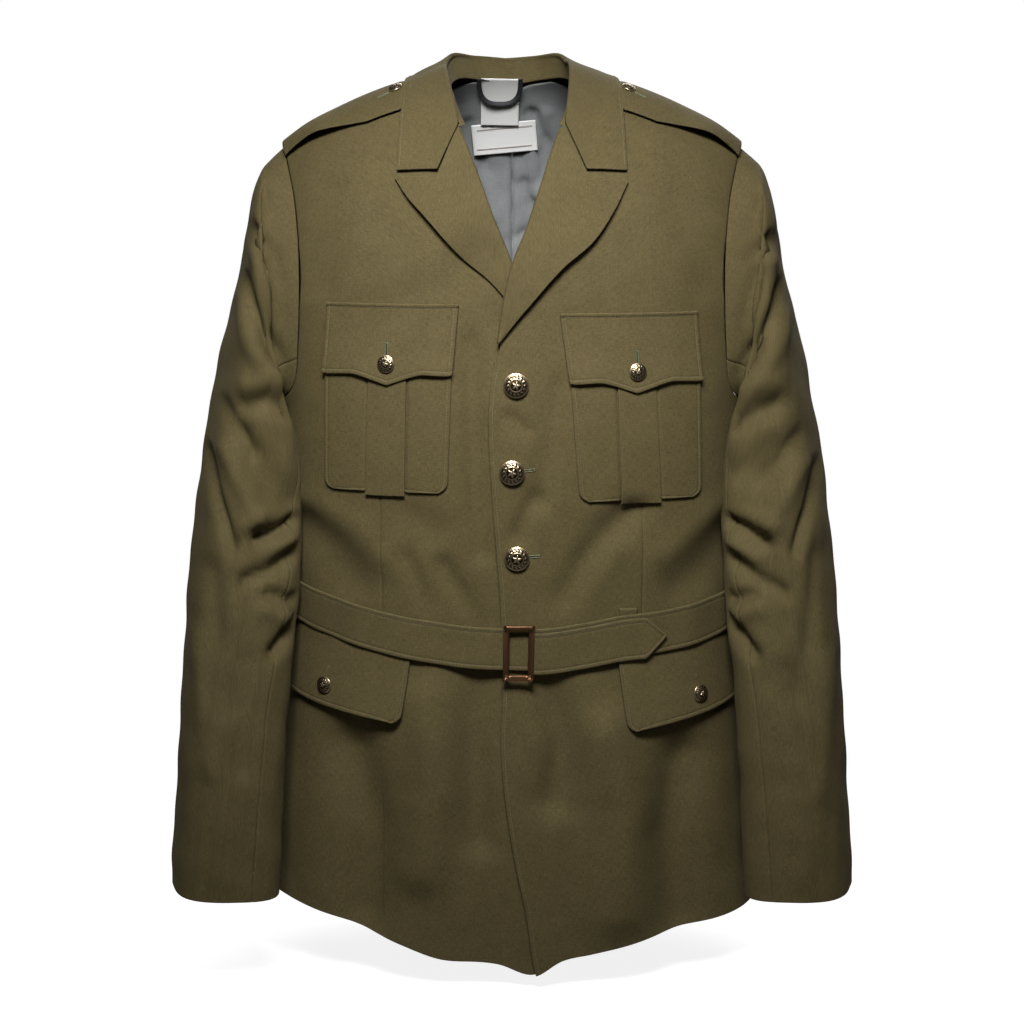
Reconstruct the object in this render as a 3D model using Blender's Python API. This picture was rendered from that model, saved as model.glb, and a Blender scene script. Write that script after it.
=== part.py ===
"""A belted wool dress tunic with an open collar, filled out as when it is worn.

Metres, +Z up, front facing -Y, wearer's left at +X. The origin lies between the
shoulders, level with the neck points, on the ridge where fronts meet backs.
Cloth walls are grids of points on one body surface, given their thickness inwards.
"""

import math

import bmesh
import bpy
import numpy as np

# Driving sizes
CLOTH = 0.0016  # shell cloth with its lining
DOUBLE = 0.0020  # two layers sewn together
SEAM = 0.0003  # gap between pieces at a seam
BASE = -0.200  # height where the chest starts to arch over to the shoulder ridge
HEM = -0.800  # nominal hem height, which HEM_LINE bends
PIT = -0.300  # bottom of the armhole
SIDE_SEAM_ANGLE = 95.0
UNDERLAP = 0.0055  # how far the right front lies inside the left one
UNDERLAP_FROM, UNDERLAP_FULL = 0.080, 0.030
HIND_SEAM = 212.0
BELT_WIDTH = 0.0395
BELT_OFF, BELT_THICK = 0.0020, 0.0020
FLAP_LIFT = 0.0020  # how much further out the belt lies over the lower flaps
BUTTON_LARGE, BUTTON_SMALL, BUTTON_SHOULDER = 0.0229, 0.0159, 0.0127
COLLAR_LEAN = -0.007  # the collar's fold leans to the wearer's right

WOOL = ((0.115, 0.095, 0.045), 0.9, 0.0)
LINING = ((0.16, 0.165, 0.17), 0.45, 0.0)
BRASS = ((0.55, 0.42, 0.22), 0.35, 1.0)
BRONZE = ((0.25, 0.13, 0.06), 0.4, 1.0)
WHITE = ((0.75, 0.74, 0.72), 0.7, 0.0)
TAPE = ((0.03, 0.03, 0.032), 0.7, 0.0)

# Horizontal sections of the body, from the hem up: height, half width, front, back, power
RINGS = (
    (-0.86, 0.243, 0.128, 0.128, 2.4),
    (-0.80, 0.241, 0.128, 0.128, 2.4),
    (-0.70, 0.232, 0.127, 0.124, 2.4),
    (-0.60, 0.220, 0.124, 0.116, 2.4),
    (-0.50, 0.211, 0.120, 0.108, 2.4),
    (-0.42, 0.213, 0.124, 0.112, 2.4),
    (-0.30, 0.217, 0.128, 0.120, 2.4),
    (-0.20, 0.222, 0.122, 0.122, 2.4),
    (-0.10, 0.222, 0.122, 0.122, 2.4),
)

# Hem height by angle round the body, 0 at centre front, plus towards the wearer's left
HEM_LINE = (
    (-180, -0.772), (-120, -0.768), (-90, -0.764), (-64, -0.763), (-39, -0.7776),
    (-26, -0.7925), (-16, -0.806), (-3, -0.8115), (5, -0.8215), (11, -0.8070),
    (18, -0.8010), (35, -0.7870), (68, -0.7760), (90, -0.771), (120, -0.769), (180, -0.772),
)  # fmt: skip

# Front edges: height, then x. Above the break this is the line where the lapel rolls
LEFT_EDGE = (
    (-0.8215, 0.0224), (-0.808, 0.0196), (-0.761, 0.0130), (-0.716, 0.0037), (-0.681, -0.0023),
    (-0.594, -0.0105), (-0.547, -0.0085), (-0.463, -0.0109), (-0.370, -0.0180), (-0.279, -0.0205),
    (-0.2285, -0.0133), (-0.182, -0.0062), (-0.155, 0.0009), (-0.129, 0.0115), (-0.095, 0.0230),
    (-0.0379, 0.0427), (-0.010, 0.0560), (0.012, 0.0680),
)  # fmt: skip
RIGHT_EDGE = (
    (-0.812, 0.048), (-0.716, 0.035), (-0.594, 0.030), (-0.370, 0.026), (-0.279, 0.022),
    (-0.2285, 0.0133), (-0.190, 0.0080), (-0.155, -0.0009), (-0.120, -0.0150), (-0.0685, -0.0340),
    (-0.0327, -0.0486), (-0.010, -0.0570), (0.012, -0.0680),
)  # fmt: skip

# The armhole, round from the shoulder (0) by the front to the pit (180), and by the back
FRONT_ARMHOLE = (
    (0, 74.0), (30, 68.8), (60, 62.8), (90, 60.6), (120, 62.7), (150, 69.5), (180, 95.0),
)  # fmt: skip
BACK_ARMHOLE = (
    (0, 106.0), (30, 109.7), (60, 113.9), (90, 115.7), (120, 114.0), (150, 108.2), (180, 95.0),
)  # fmt: skip

# Sleeve sections: inner and outer points, depth centre, half depth, turn, power
SLEEVE_COLUMNS = ("in_x", "in_z", "out_x", "out_z", "y", "half_depth", "turn", "power")
SLEEVE = (
    (0.220, -0.302, 0.2225, -0.070, 0.002, 0.074, 0, 2.2),
    (0.222, -0.306, 0.233, -0.084, 0.000, 0.078, 2, 2.3),
    (0.223, -0.312, 0.245, -0.117, -0.002, 0.079, 5, 2.4),
    (0.223, -0.322, 0.256, -0.165, -0.006, 0.079, 9, 2.5),
    (0.222, -0.337, 0.268, -0.220, -0.012, 0.077, 13, 2.5),
    (0.220, -0.358, 0.279, -0.280, -0.020, 0.072, 17, 2.5),
    (0.217, -0.392, 0.289, -0.350, -0.032, 0.064, 20, 2.5),
    (0.213, -0.440, 0.297, -0.430, -0.050, 0.057, 21, 2.6),
    (0.212, -0.500, 0.303, -0.500, -0.066, 0.052, 20, 2.6),
    (0.214, -0.570, 0.309, -0.570, -0.079, 0.049, 19, 2.7),
    (0.217, -0.640, 0.314, -0.640, -0.089, 0.048, 18, 2.8),
    (0.219, -0.700, 0.318, -0.700, -0.097, 0.047, 17, 2.9),
    (0.220, -0.746, 0.322, -0.744, -0.102, 0.047, 16, 3.0),
)

# Place of the forearm seam at the armhole and at each section, degrees round from the outside
FOREARM_SEAM = (128, 128, 128, 128, 128, 128, 127, 124, 119, 113, 108, 105, 103, 102)

# Collar: the fold along its top and the fall's outer edge, from centre back to the front
FOLD = (
    (0.000, 0.062, 0.025), (0.028, 0.057, 0.027), (0.049, 0.030, 0.029), (0.056, -0.005, 0.016),
    (0.055, -0.040, -0.005), (0.0465, -0.0875, -0.0345),
)  # fmt: skip
FALL_EDGE = (
    (0.000, 0.077, -0.020), (0.046, 0.066, -0.016), (0.082, 0.036, -0.004), (0.0965, 0.000, 0.004),
    (0.0995, -0.045, -0.016), (0.1030, -0.0945, -0.0790),
)  # fmt: skip
FALL_END = ((0.0465, -0.0345), (0.0665, -0.0805), (0.1030, -0.0790))
NECK_SEAM = (
    (0.000, 0.0530, -0.001), (0.028, 0.0405, 0.004), (0.0500, 0.0195, 0.005), (0.0585, -0.004, 0.000),
    (0.055, -0.040, -0.014), (0.0440, -0.0840, -0.0370),
)  # fmt: skip
STAND_REACH = 0.86  # the stand stops short of the fall's ends, where the lapels take over

# Lapel outlines in x and z: along the top from the roll to the peak, then down the edge
LAPELS = {
    "left": {
        "side": 1,
        "top": ((0.0440, -0.0395), (0.0655, -0.0870), (0.1035, -0.0880)),
        "edge": (
            (0.1035, -0.0880), (0.0725, -0.1395), (0.0451, -0.1632),
            (0.0168, -0.1948), (-0.0105, -0.2290),
        ),
        "end": -0.2290,
    },
    "right": {
        "side": -1,
        "top": ((-0.0490, -0.0365), (-0.0665, -0.0835), (-0.1045, -0.0850)),
        "edge": (
            (-0.1045, -0.0850), (-0.0779, -0.1172), (-0.0433, -0.1554),
            (-0.0180, -0.1765), (-0.0060, -0.1900),
        ),
        "end": -0.1900,
    },
}  # fmt: skip

# Chest pockets: side, then inner x, outer x and height at three levels
POCKETS = {
    "right": {
        "side": -1,
        "top": (0.0470, 0.1659, -0.1943),
        "flap": (0.0526, 0.1690, -0.2590),
        "bottom": (0.0577, 0.1705, -0.3640),
    },
    "left": {
        "side": 1,
        "top": (0.0423, 0.1661, -0.2025),
        "flap": (0.0508, 0.1700, -0.2660),
        "bottom": (0.0607, 0.1726, -0.3718),
    },
}
POCKET_CORNER = 0.0038
FLAP_POINT = 0.0085
POCKET_OFF, POCKET_THICK, FLAP_THICK = 0.0009, 0.0014, 0.0020

LOWER_FLAPS = {
    "right": {"side": -1, "inner": (25.3, 27.5), "outer": 93.0, "top": -0.5030, "bottom": -0.5790},
    "left": {"side": 1, "inner": (26.6, 28.6), "outer": 93.0, "top": -0.5050, "bottom": -0.5870},
}
LOWER_FLAP_RISE = 0.022  # how much higher the flap's bottom is at its outer end

# Belt centre height by angle, then the angles where its end starts and stops
BELT_LINE = (
    (-180, -0.4600), (-120, -0.4610), (-90, -0.4650), (-72, -0.4735), (-50, -0.4845), (-36, -0.4935),
    (-25, -0.5000), (-12, -0.5065), (0, -0.5085), (10, -0.5080), (17, -0.5045), (27, -0.4985),
    (40, -0.4955), (62, -0.4880), (80, -0.4800), (100, -0.4680), (135, -0.4610), (180, -0.4600),
)  # fmt: skip
BELT_TIP_FROM, BELT_TIP_END = 6.5, 41.0
BELT_LOOP = {"angles": (27.6, 32.8), "heights": (-0.4720, -0.4890), "thick": 0.0012, "off": 0.0024}
BUCKLE = {"x": 0.0060, "z": -0.5110, "width": 0.0281, "height": 0.0512, "bar": 0.0056, "thick": 0.0032}
# Shoulder straps: front and back edges at shares of the way in from the sleeve seam
EPAULETTE = {
    "at": (0, 0.3, 0.6, 0.9, 1.0),
    "front": (-0.024, -0.041, -0.053, -0.056, -0.045),
    "back": (0.022, 0.010, -0.002, -0.011, -0.024),
    "inner_x": 0.0900,
    "off": 0.0042,
    "button": (0.1045, -0.030),
}
FRONT_BUTTONS = ((0.0036, -0.2664), (0.0000, -0.3444), (0.0045, -0.4236))


def along(rows, at):
    """Smooth values through rows whose first column is the place along."""
    rows = np.array(rows, float)
    keys = rows[:, 0]
    at = np.clip(np.asarray(at, float), keys[0], keys[-1])
    slopes = np.gradient(rows[:, 1:], keys, axis=0)
    i = np.clip(np.searchsorted(keys, at, side="right") - 1, 0, len(keys) - 2)
    span = keys[i + 1] - keys[i]
    t = ((at - keys[i]) / span)[..., None]
    span = span[..., None]
    start, end = rows[i, 1:], rows[i + 1, 1:]
    found = (2 * t**3 - 3 * t**2 + 1) * start + (t**3 - 2 * t**2 + t) * span * slopes[i]
    return found + (3 * t**2 - 2 * t**3) * end + (t**3 - t**2) * span * slopes[i + 1]


def spread(points, at):
    """Points at shares of the length of a smooth line through the given ones."""
    points = np.array(points, float)
    steps = np.linalg.norm(np.diff(points, axis=0), axis=1)
    share = np.concatenate([[0], np.cumsum(steps)]) / steps.sum()
    return along(np.column_stack([share, points]), at)


def straight(points, at):
    """Points at shares of the length of straight runs through the given ones."""
    points = np.array(points, float)
    steps = np.linalg.norm(np.diff(points, axis=0), axis=1)
    share = np.concatenate([[0], np.cumsum(steps)]) / steps.sum()
    return np.stack([np.interp(at, share, points[:, i]) for i in range(points.shape[1])], -1)


def ridge(x):
    """Height of the shoulder ridge."""
    x = np.abs(x)
    return 0.009 + 0.084 * x - 1.9 * x**2 + 0.020 * np.exp(-((x / 0.055) ** 2))


def section(height):
    values = along(RINGS, np.minimum(height, BASE))
    return values[..., 0], values[..., 1], values[..., 2], values[..., 3]


def front_y(x, z):
    """Depth of the front surface at a place seen from the front."""
    half_width, front, _, power = section(z)
    flat = np.clip(1 - (np.abs(x) / half_width) ** power, 0, 1) ** (1 / power)
    rise = np.clip((z - BASE) / (ridge(x) - BASE), 0, 1)
    return -front * flat * np.sqrt(1 - rise**2)


def body(angle, nominal, arch=0.0):
    """A point of the body surface: angle from centre front, nominal height, arch 0 to 1."""
    angle, nominal = np.broadcast_arrays(np.asarray(angle, float), np.asarray(nominal, float))
    hem = along(HEM_LINE, angle)[..., 0]
    height = BASE + (nominal - BASE) * (hem - BASE) / (HEM - BASE)
    half_width, front, back, power = section(height)
    turn = np.radians(angle)
    x = half_width * np.sin(turn)
    flat = np.clip(1 - np.abs(np.sin(turn)) ** power, 0, 1) ** (1 / power)
    depth = np.where(np.cos(turn) > 0, -front, back)
    quarter = arch * math.pi / 2
    z = height + (ridge(x) - BASE) * np.sin(quarter)
    return np.stack([x, depth * flat * np.cos(quarter), z], -1)


def angle_of(x, z):
    half_width = section(z)[0]
    return np.degrees(np.arcsin(np.clip(x / half_width, -1, 1)))


def armhole_row(around, back):
    """Angle, nominal height and arch of the armhole at a place round it."""
    angle = float(along(BACK_ARMHOLE if back else FRONT_ARMHOLE, around)[0])
    x = 0.221 * abs(math.sin(math.radians(angle)))
    top = float(ridge(x))
    height = (top + PIT) / 2 + (top - PIT) / 2 * math.cos(math.radians(around))
    if height <= BASE:
        return angle, height, 0.0
    return angle, BASE, math.asin(min(1.0, (height - BASE) / (top - BASE))) * 2 / math.pi


def smoothstep(value, low, high):
    t = np.clip((value - low) / (high - low), 0, 1)
    return t * t * (3 - 2 * t)


def underlap(x):
    return UNDERLAP * (1 - smoothstep(np.abs(x), UNDERLAP_FULL, UNDERLAP_FROM))


LOWER_ROWS = np.linspace(HEM, PIT, 8)
UPPER_PLACES = (160, 138, 114, 90, 66, 46, 31, 20, 10, 3, 0)


def seamed(count):
    """Even shares with a short one at each end, so that walls meet squarely at a seam."""
    return np.insert(np.linspace(0, 1, count), [1, count - 1], [0.012, 0.988])


def panel_grid(side, back, columns, inner_edge, inset=None):
    """Rows of points from the hem to the shoulder, between an inner edge and the side."""
    rows = [(SIDE_SEAM_ANGLE, height, 0.0) for height in LOWER_ROWS]
    rows += [armhole_row(place, back) for place in UPPER_PLACES]
    grid = []
    for outer, nominal, arch in rows:
        inner = inner_edge(side, nominal, arch)
        outer = side * (outer + (0.05 if back else -0.05))
        angles = inner + (outer - inner) * seamed(columns)
        points = body(angles, nominal, arch)
        if inset is not None:
            points[:, 1] += inset(points[:, 0])
        if arch > 0.999:
            points[:, 1] = SEAM / 2 if back else -SEAM / 2
        grid.append(points)
    return np.array(grid)


def front_inner(edge):
    def at(side, nominal, arch):
        angle = 0.0
        for _ in range(6):
            point = body(angle, nominal, arch)
            x = float(along(edge, point[2])[0])
            angle = float(angle_of(x, point[2]))
        return angle

    return at


def back_inner(side, nominal, arch):
    """The centre back seam, which opens into the neck near the top."""
    neck = float(smoothstep(arch, 0.68, 1.0)) if arch > 0.68 else 0.0
    return side * (180 - 0.04 - 17.5 * math.sqrt(neck))


def colour_of(name, finish):
    material = bpy.data.materials.new(name)
    material.use_nodes = True
    shader = material.node_tree.nodes["Principled BSDF"]
    colour, roughness, metallic = finish
    shader.inputs["Base Color"].default_value = (*colour, 1.0)
    shader.inputs["Roughness"].default_value = roughness
    shader.inputs["Metallic"].default_value = metallic
    material.diffuse_color = (*colour, 1.0)
    return material


def add_object(name, shape, finish, smooth=True):
    mesh = bpy.data.meshes.new(name)
    shape.to_mesh(mesh)
    shape.free()
    piece = bpy.data.objects.new(name, mesh)
    bpy.context.scene.collection.objects.link(piece)
    mesh.materials.append(colour_of(name, finish))
    if smooth:
        mesh.shade_smooth()
    return piece


def sheet(name, grid, thickness, finish, flip=False, closed=False):
    """A cloth wall: the grid is its outer face, and the thickness goes inwards."""
    shape = bmesh.new()
    rows, columns = grid.shape[:2]
    verts = [[shape.verts.new(point) for point in row] for row in grid]
    for r in range(rows - 1):
        for c in range(columns if closed else columns - 1):
            after = (c + 1) % columns
            corners = (verts[r][c], verts[r][after], verts[r + 1][after], verts[r + 1][c])
            shape.faces.new(corners[::-1] if flip else corners)
    piece = add_object(name, shape, finish)
    solid = piece.modifiers.new("Cloth", "SOLIDIFY")
    solid.thickness = thickness
    solid.offset = -1
    return piece


def coons(top, bottom, start, end, across, down):
    """A patch between four lines, each given as (shares -> points); start and end run down."""
    u = np.linspace(0, 1, across)[None, :, None]
    v = np.linspace(0, 1, down)[:, None, None]
    top, bottom = top(u[0, :, 0])[None], bottom(u[0, :, 0])[None]
    start, end = start(v[:, 0, 0])[:, None], end(v[:, 0, 0])[:, None]
    edges = (1 - v) * top + v * bottom + (1 - u) * start + u * end
    corners = (1 - u) * (1 - v) * top[:, :1] + u * (1 - v) * top[:, -1:]
    corners = corners + (1 - u) * v * bottom[:, :1] + u * v * bottom[:, -1:]
    return edges - corners


def on_front(flat, off, inset=None):
    """Places in x and z lifted off the front surface along its normal."""
    x, z = flat[..., 0], flat[..., 1]
    step = 0.001
    y = front_y(x, z)
    slope_x = (front_y(x + step, z) - front_y(x - step, z)) / (2 * step)
    slope_z = (front_y(x, z + step) - front_y(x, z - step)) / (2 * step)
    if inset is not None:
        y = y + inset(x)
    out = np.stack([slope_x, -np.ones_like(x), slope_z], -1)
    out /= np.linalg.norm(out, axis=-1, keepdims=True)
    return np.stack([x, y, z], -1) + out * np.asarray(off)[..., None]


def round_body(angles, heights, off):
    """Places given by angle and true height, lifted off the body."""
    angles, heights = np.broadcast_arrays(angles, heights)

    def at(angle, height):
        half_width, front, back, power = section(height)
        turn = np.radians(angle)
        flat = np.clip(1 - np.abs(np.sin(turn)) ** power, 0, 1) ** (1 / power)
        depth = np.where(np.cos(turn) > 0, -front, back)
        return np.stack([half_width * np.sin(turn), depth * flat, height], -1)

    here = at(angles, heights)
    along_ring = at(angles + 1.0, heights) - at(angles - 1.0, heights)
    upward = at(angles, heights + 0.002) - at(angles, heights - 0.002)
    out = np.cross(along_ring, upward)
    out /= np.linalg.norm(out, axis=-1, keepdims=True)
    return here + out * np.asarray(off)[..., None]


def keep_off(points, gap):
    """Moves points out until they clear the chest and shoulders by a gap."""
    x, y, z = points[..., 0], points[..., 1], points[..., 2]
    half_width, front, back, power = section(np.full_like(x, BASE))
    flat = np.clip(1 - (np.abs(x) / half_width) ** power, 0, 1) ** (1 / power)
    deep = np.where(y < 0, front, back) * flat
    tall = ridge(x) - BASE
    reach = np.sqrt((y / deep) ** 2 + ((z - BASE) / tall) ** 2)
    need = 1 + gap / np.hypot(y, z - BASE)
    grow = np.maximum(1, need / reach)
    return np.stack([x, y * grow, BASE + (z - BASE) * grow], -1)


def shoulder_top(x, y, off):
    """A point over the shoulder, seen from above, lifted off along its normal."""

    def height(x, y):
        _, front, back, power = section(np.full_like(x, BASE))
        flat = np.clip(1 - (np.abs(x) / 0.222) ** power, 0, 1) ** (1 / power)
        deep = np.where(y < 0, front, back) * flat
        return BASE + (ridge(x) - BASE) * np.sqrt(np.clip(1 - (y / deep) ** 2, 0, 1))

    step = 0.0015
    slope_x = (height(x + step, y) - height(x - step, y)) / (2 * step)
    slope_y = (height(x, y + step) - height(x, y - step)) / (2 * step)
    out = np.stack([-slope_x, -slope_y, np.ones_like(x)], -1)
    out /= np.linalg.norm(out, axis=-1, keepdims=True)
    return np.stack([x, y, height(x, y)], -1) + out * off


def make_body():
    sheet("front_left", panel_grid(1, False, 11, front_inner(LEFT_EDGE)), CLOTH, WOOL)
    right = panel_grid(-1, False, 11, front_inner(RIGHT_EDGE), underlap)
    sheet("front_right", right, CLOTH, WOOL, flip=True)
    sheet("back_left", panel_grid(1, True, 8, back_inner), CLOTH, WOOL, flip=True)
    sheet("back_right", panel_grid(-1, True, 8, back_inner), CLOTH, WOOL)


def lining_grid(side):
    """The inside of one back half, from the neck seam to below the armholes."""
    rows = []
    places = [(height, 0.0) for height in (-0.36, -0.30, -0.25, BASE)]
    places += [(BASE, arch) for arch in (0.2, 0.38, 0.54, 0.67, 0.8)]
    for nominal, arch in places:
        inner = abs(back_inner(1, nominal, arch))
        angles = np.linspace(inner - 0.05, 122, 7)
        rows.append(body(side * angles, nominal, arch))
    grid = np.array(rows)
    centre = np.array([0, 0, BASE])
    shrink = 1 - 0.0052 / np.linalg.norm(grid - centre, axis=-1, keepdims=True)
    moved = centre + (grid - centre) * shrink
    moved[..., 0] = np.where(np.abs(grid[..., 0]) < 0.001, side * 0.0002, moved[..., 0])
    return moved


def make_lining():
    sheet("lining_left", lining_grid(1), 0.0010, LINING, flip=True)
    sheet("lining_right", lining_grid(-1), 0.0010, LINING)


def sleeve_ring(row, side, sides):
    values = dict(zip(SLEEVE_COLUMNS, row))
    turn = math.radians(values["turn"])
    inner = np.array([values["in_x"], 0, values["in_z"]])
    outer = np.array([values["out_x"], 0, values["out_z"]])
    centre = (inner + outer) / 2 + np.array([0, values["y"], 0])
    half = (outer - inner) / 2
    wide = np.array([half[0] * math.cos(turn), -half[0] * math.sin(turn), half[2]])
    deep = values["half_depth"] * np.array([math.sin(turn), math.cos(turn), 0])
    round_it = np.radians(sides)
    c, s = np.cos(round_it), -np.sin(round_it)
    power = 2 / values["power"]
    points = centre + np.outer(np.sign(c) * np.abs(c) ** power, wide)
    points = points + np.outer(np.sign(s) * np.abs(s) ** power, deep)
    return points * np.array([side, 1, 1])


def armhole_loop(side, places):
    """The armhole's own points, a seam's gap outside and inside it, for the head of the sleeve."""
    loop = []
    for place in places:
        back = place > 180
        angle, nominal, arch = armhole_row(360 - place if back else place, back)
        loop.append(body(side * angle, nominal, arch))
    loop = np.array(loop)
    middle = loop.copy()
    middle[:, 1:] = (0.0, (PIT + float(ridge(0.213))) / 2)
    inward = (middle - loop) / np.linalg.norm(middle - loop, axis=1, keepdims=True)
    return loop + inward * 0.0006 + np.array([side * 0.0014, 0, 0])


def make_sleeves():
    for side, word in ((1, "left"), (-1, "right")):
        forearm = np.array(FOREARM_SEAM, float)[:, None]
        hind = np.full_like(forearm, HIND_SEAM)
        spans = (
            ("sleeve_top", hind - 360 + 0.3, forearm - 0.3, 14),
            ("sleeve_under", forearm + 0.3, hind - 0.3, 8),
        )
        for name, start, end, count in spans:
            places = start + (end - start) * seamed(count)
            rings = [armhole_loop(side, places[0] % 360)]
            rings += [sleeve_ring(row, side, around) for row, around in zip(SLEEVE, places[1:])]
            sheet(f"{name}_{word}", np.array(rings), CLOTH, WOOL, flip=side < 0)


def make_lapels():
    for word, shape in LAPELS.items():
        side = shape["side"]
        edge_line = LEFT_EDGE if side > 0 else RIGHT_EDGE
        top_z = shape["top"][0][1]

        def roll(share, edge_line=edge_line, top_z=top_z, shape=shape):
            z = top_z + (shape["end"] - top_z) * share
            return np.stack([along(edge_line, z)[:, 0], z], -1)

        flat = coons(
            lambda share, shape=shape: straight(shape["top"], share),
            lambda share, shape=shape, roll=roll: (1 - share[:, None]) * roll(np.array([1.0]))
            + share[:, None] * np.array(shape["edge"][-1]),
            roll,
            lambda share, shape=shape: spread(shape["edge"], share),
            9,
            11,
        )
        share = np.linspace(0, 1, 9)[None, :] * np.ones((11, 1))
        off = 0.0012 + DOUBLE + 0.0022 * np.sin(math.pi * share) ** 0.7
        if side < 0:
            low = smoothstep(-flat[..., 1], 0.10, 0.16)
            off = off - low * (off - 0.0034)
        points = on_front(flat, off, underlap if side < 0 else None)
        sheet(f"lapel_{word}", points, DOUBLE, WOOL, flip=side > 0)


def collar_line(rows, shares, lean):
    """A line along the whole collar; shares run from -1, right end, to 1, left end."""
    points = spread(rows, np.abs(shares))
    points[:, 0] *= np.sign(shares)
    points[:, 0] += lean * np.cos(np.abs(shares) * math.pi / 2)
    return points


def make_collar():
    shares = np.linspace(-1, 1, 25)
    shares[12] = 0.0
    fold = collar_line(FOLD, shares, COLLAR_LEAN)
    edge = collar_line(FALL_EDGE, shares, 0)
    down = np.linspace(0, 1, 7)[:, None, None]
    grid = fold[None] * (1 - down) + edge[None] * down
    end = straight(FALL_END, down[:, 0, 0])
    end = np.stack([end[:, 0], front_y(end[:, 0], end[:, 1]) - 0.003, end[:, 1]], -1)
    for side, column in ((-1, 0), (1, -1)):
        line = end * np.array([side, 1, 1])
        bend = line - grid[:, column]
        near = np.clip(np.abs(shares) - 0.62, 0, 1) / 0.38 * (np.sign(shares) == side)
        grid = grid + bend[:, None] * (near**1.5)[None, :, None]
    crown = np.sin(math.pi * down[:, :, 0]) * 0.004
    lift = np.zeros_like(grid)
    lift[..., 2] = crown
    grid = keep_off(grid + lift, 0.0048 + DOUBLE / 2)
    sheet("collar_fall", grid, DOUBLE, WOOL, flip=True)
    shares = np.linspace(-STAND_REACH, STAND_REACH, 23)
    shares[11] = 0.0
    fold = collar_line(FOLD, shares, COLLAR_LEAN)
    seam = collar_line(NECK_SEAM, shares, 0)
    rise = np.linspace(0, 1, 3)[:, None, None]
    top = fold + (seam - fold) * 0.02
    stand = seam[None] * (1 - rise) + top[None] * rise
    centre = np.array([0, -0.015, 0])
    away = stand - centre
    away[..., 2] = 0
    away /= np.linalg.norm(away, axis=-1, keepdims=True)
    stand = stand - away * 0.0034
    sheet("collar_stand", stand, 0.0016, WOOL)


def button(name, centre, out, across, dome):
    """A domed shank button: a rim, a dome and a back plate in one turned shape."""
    radius = across / 2
    profile = [(0.0, dome), (0.4, dome * 0.92), (0.76, dome * 0.58), (0.9, dome * 0.40)]
    profile += [(1.0, dome * 0.28), (0.96, 0.0), (0.0, 0.0)]
    shape = bmesh.new()
    verts = [shape.verts.new((share * radius, 0, height)) for share, height in profile]
    edges = [shape.edges.new(pair) for pair in zip(verts, verts[1:])]
    bmesh.ops.spin(
        shape, geom=verts + edges, axis=(0, 0, 1), angle=math.tau, steps=14, use_merge=True
    )
    bmesh.ops.remove_doubles(shape, verts=shape.verts, dist=1e-6)
    bmesh.ops.recalc_face_normals(shape, faces=shape.faces)
    piece = add_object(name, shape, BRASS)
    out = np.array(out, float)
    out /= np.linalg.norm(out)
    turn = math.atan2(math.hypot(out[0], out[1]), out[2])
    piece.rotation_euler = (0, turn, math.atan2(out[1], out[0]))
    piece.location = centre
    return piece


def front_normal(x, z):
    near = on_front(np.array([[x, z]]), np.array([0.0]))[0]
    far = on_front(np.array([[x, z]]), np.array([0.01]))[0]
    return near, (far - near) / 0.01


def make_front_buttons():
    for number, (x, z) in enumerate(FRONT_BUTTONS, 1):
        near, out = front_normal(x, z)
        button(f"front_button_{number}", near + out * 0.0012, out, BUTTON_LARGE, 0.0058)


def make_chest_pockets():
    for word, size in POCKETS.items():
        side = size["side"]
        in_top, out_top, high = size["top"]
        in_flap, out_flap, low = size["flap"]
        in_bottom, out_bottom, bottom = size["bottom"]
        x_in, x_out = in_flap + 0.0006, out_flap - 0.0006
        top = low + 0.009
        share = np.array([0, 0.06, 0.2, 0.335, 0.36, 0.5, 0.64, 0.665, 0.8, 0.94, 1.0])
        rows = np.array([0, 0.2, 0.4, 0.6, 0.8, 0.93, 1.0])
        start = x_in + (in_bottom - x_in) * rows
        finish = x_out + (out_bottom - x_out) * rows
        x = start[:, None] + (finish - start)[:, None] * share[None]
        z = top + (bottom - top) * rows[:, None] * np.ones_like(share)[None]
        x[-1, 0] += POCKET_CORNER
        x[-1, -1] -= POCKET_CORNER
        z[-1, 0] += POCKET_CORNER
        z[-1, -1] += POCKET_CORNER
        pleat = (np.abs(share - 0.5) < 0.15)[None] * np.ones_like(z)
        z[-1] -= 0.005 * pleat[-1]
        off = POCKET_OFF + POCKET_THICK + 0.0007 * pleat
        grid = on_front(np.stack([side * x, z], -1), off, underlap if side < 0 else None)
        sheet(f"chest_pocket_{word}", grid, POCKET_THICK, WOOL, flip=side > 0)

        share = np.linspace(0, 1, 9)
        rows = np.linspace(0, 1, 5)
        start = in_top + (in_flap - in_top) * rows
        finish = out_top + (out_flap - out_top) * rows
        x = start[:, None] + (finish - start)[:, None] * share[None]
        scallop = FLAP_POINT * np.clip(1 - np.abs(share - 0.5) / 0.26, 0, 1) ** 1.3
        z = high + (low - high - scallop)[None] * rows[:, None]
        off = 0.0008 + FLAP_THICK + 0.0040 * rows[:, None] + 0 * z
        grid = on_front(np.stack([side * x, z], -1), off, underlap if side < 0 else None)
        sheet(f"chest_flap_{word}", grid, FLAP_THICK, WOOL, flip=side > 0)
        near, out = front_normal(side * (in_flap + out_flap) / 2, low + 0.0110)
        button(f"chest_button_{word}", near + out * 0.0068, out, BUTTON_SMALL, 0.0042)


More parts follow.
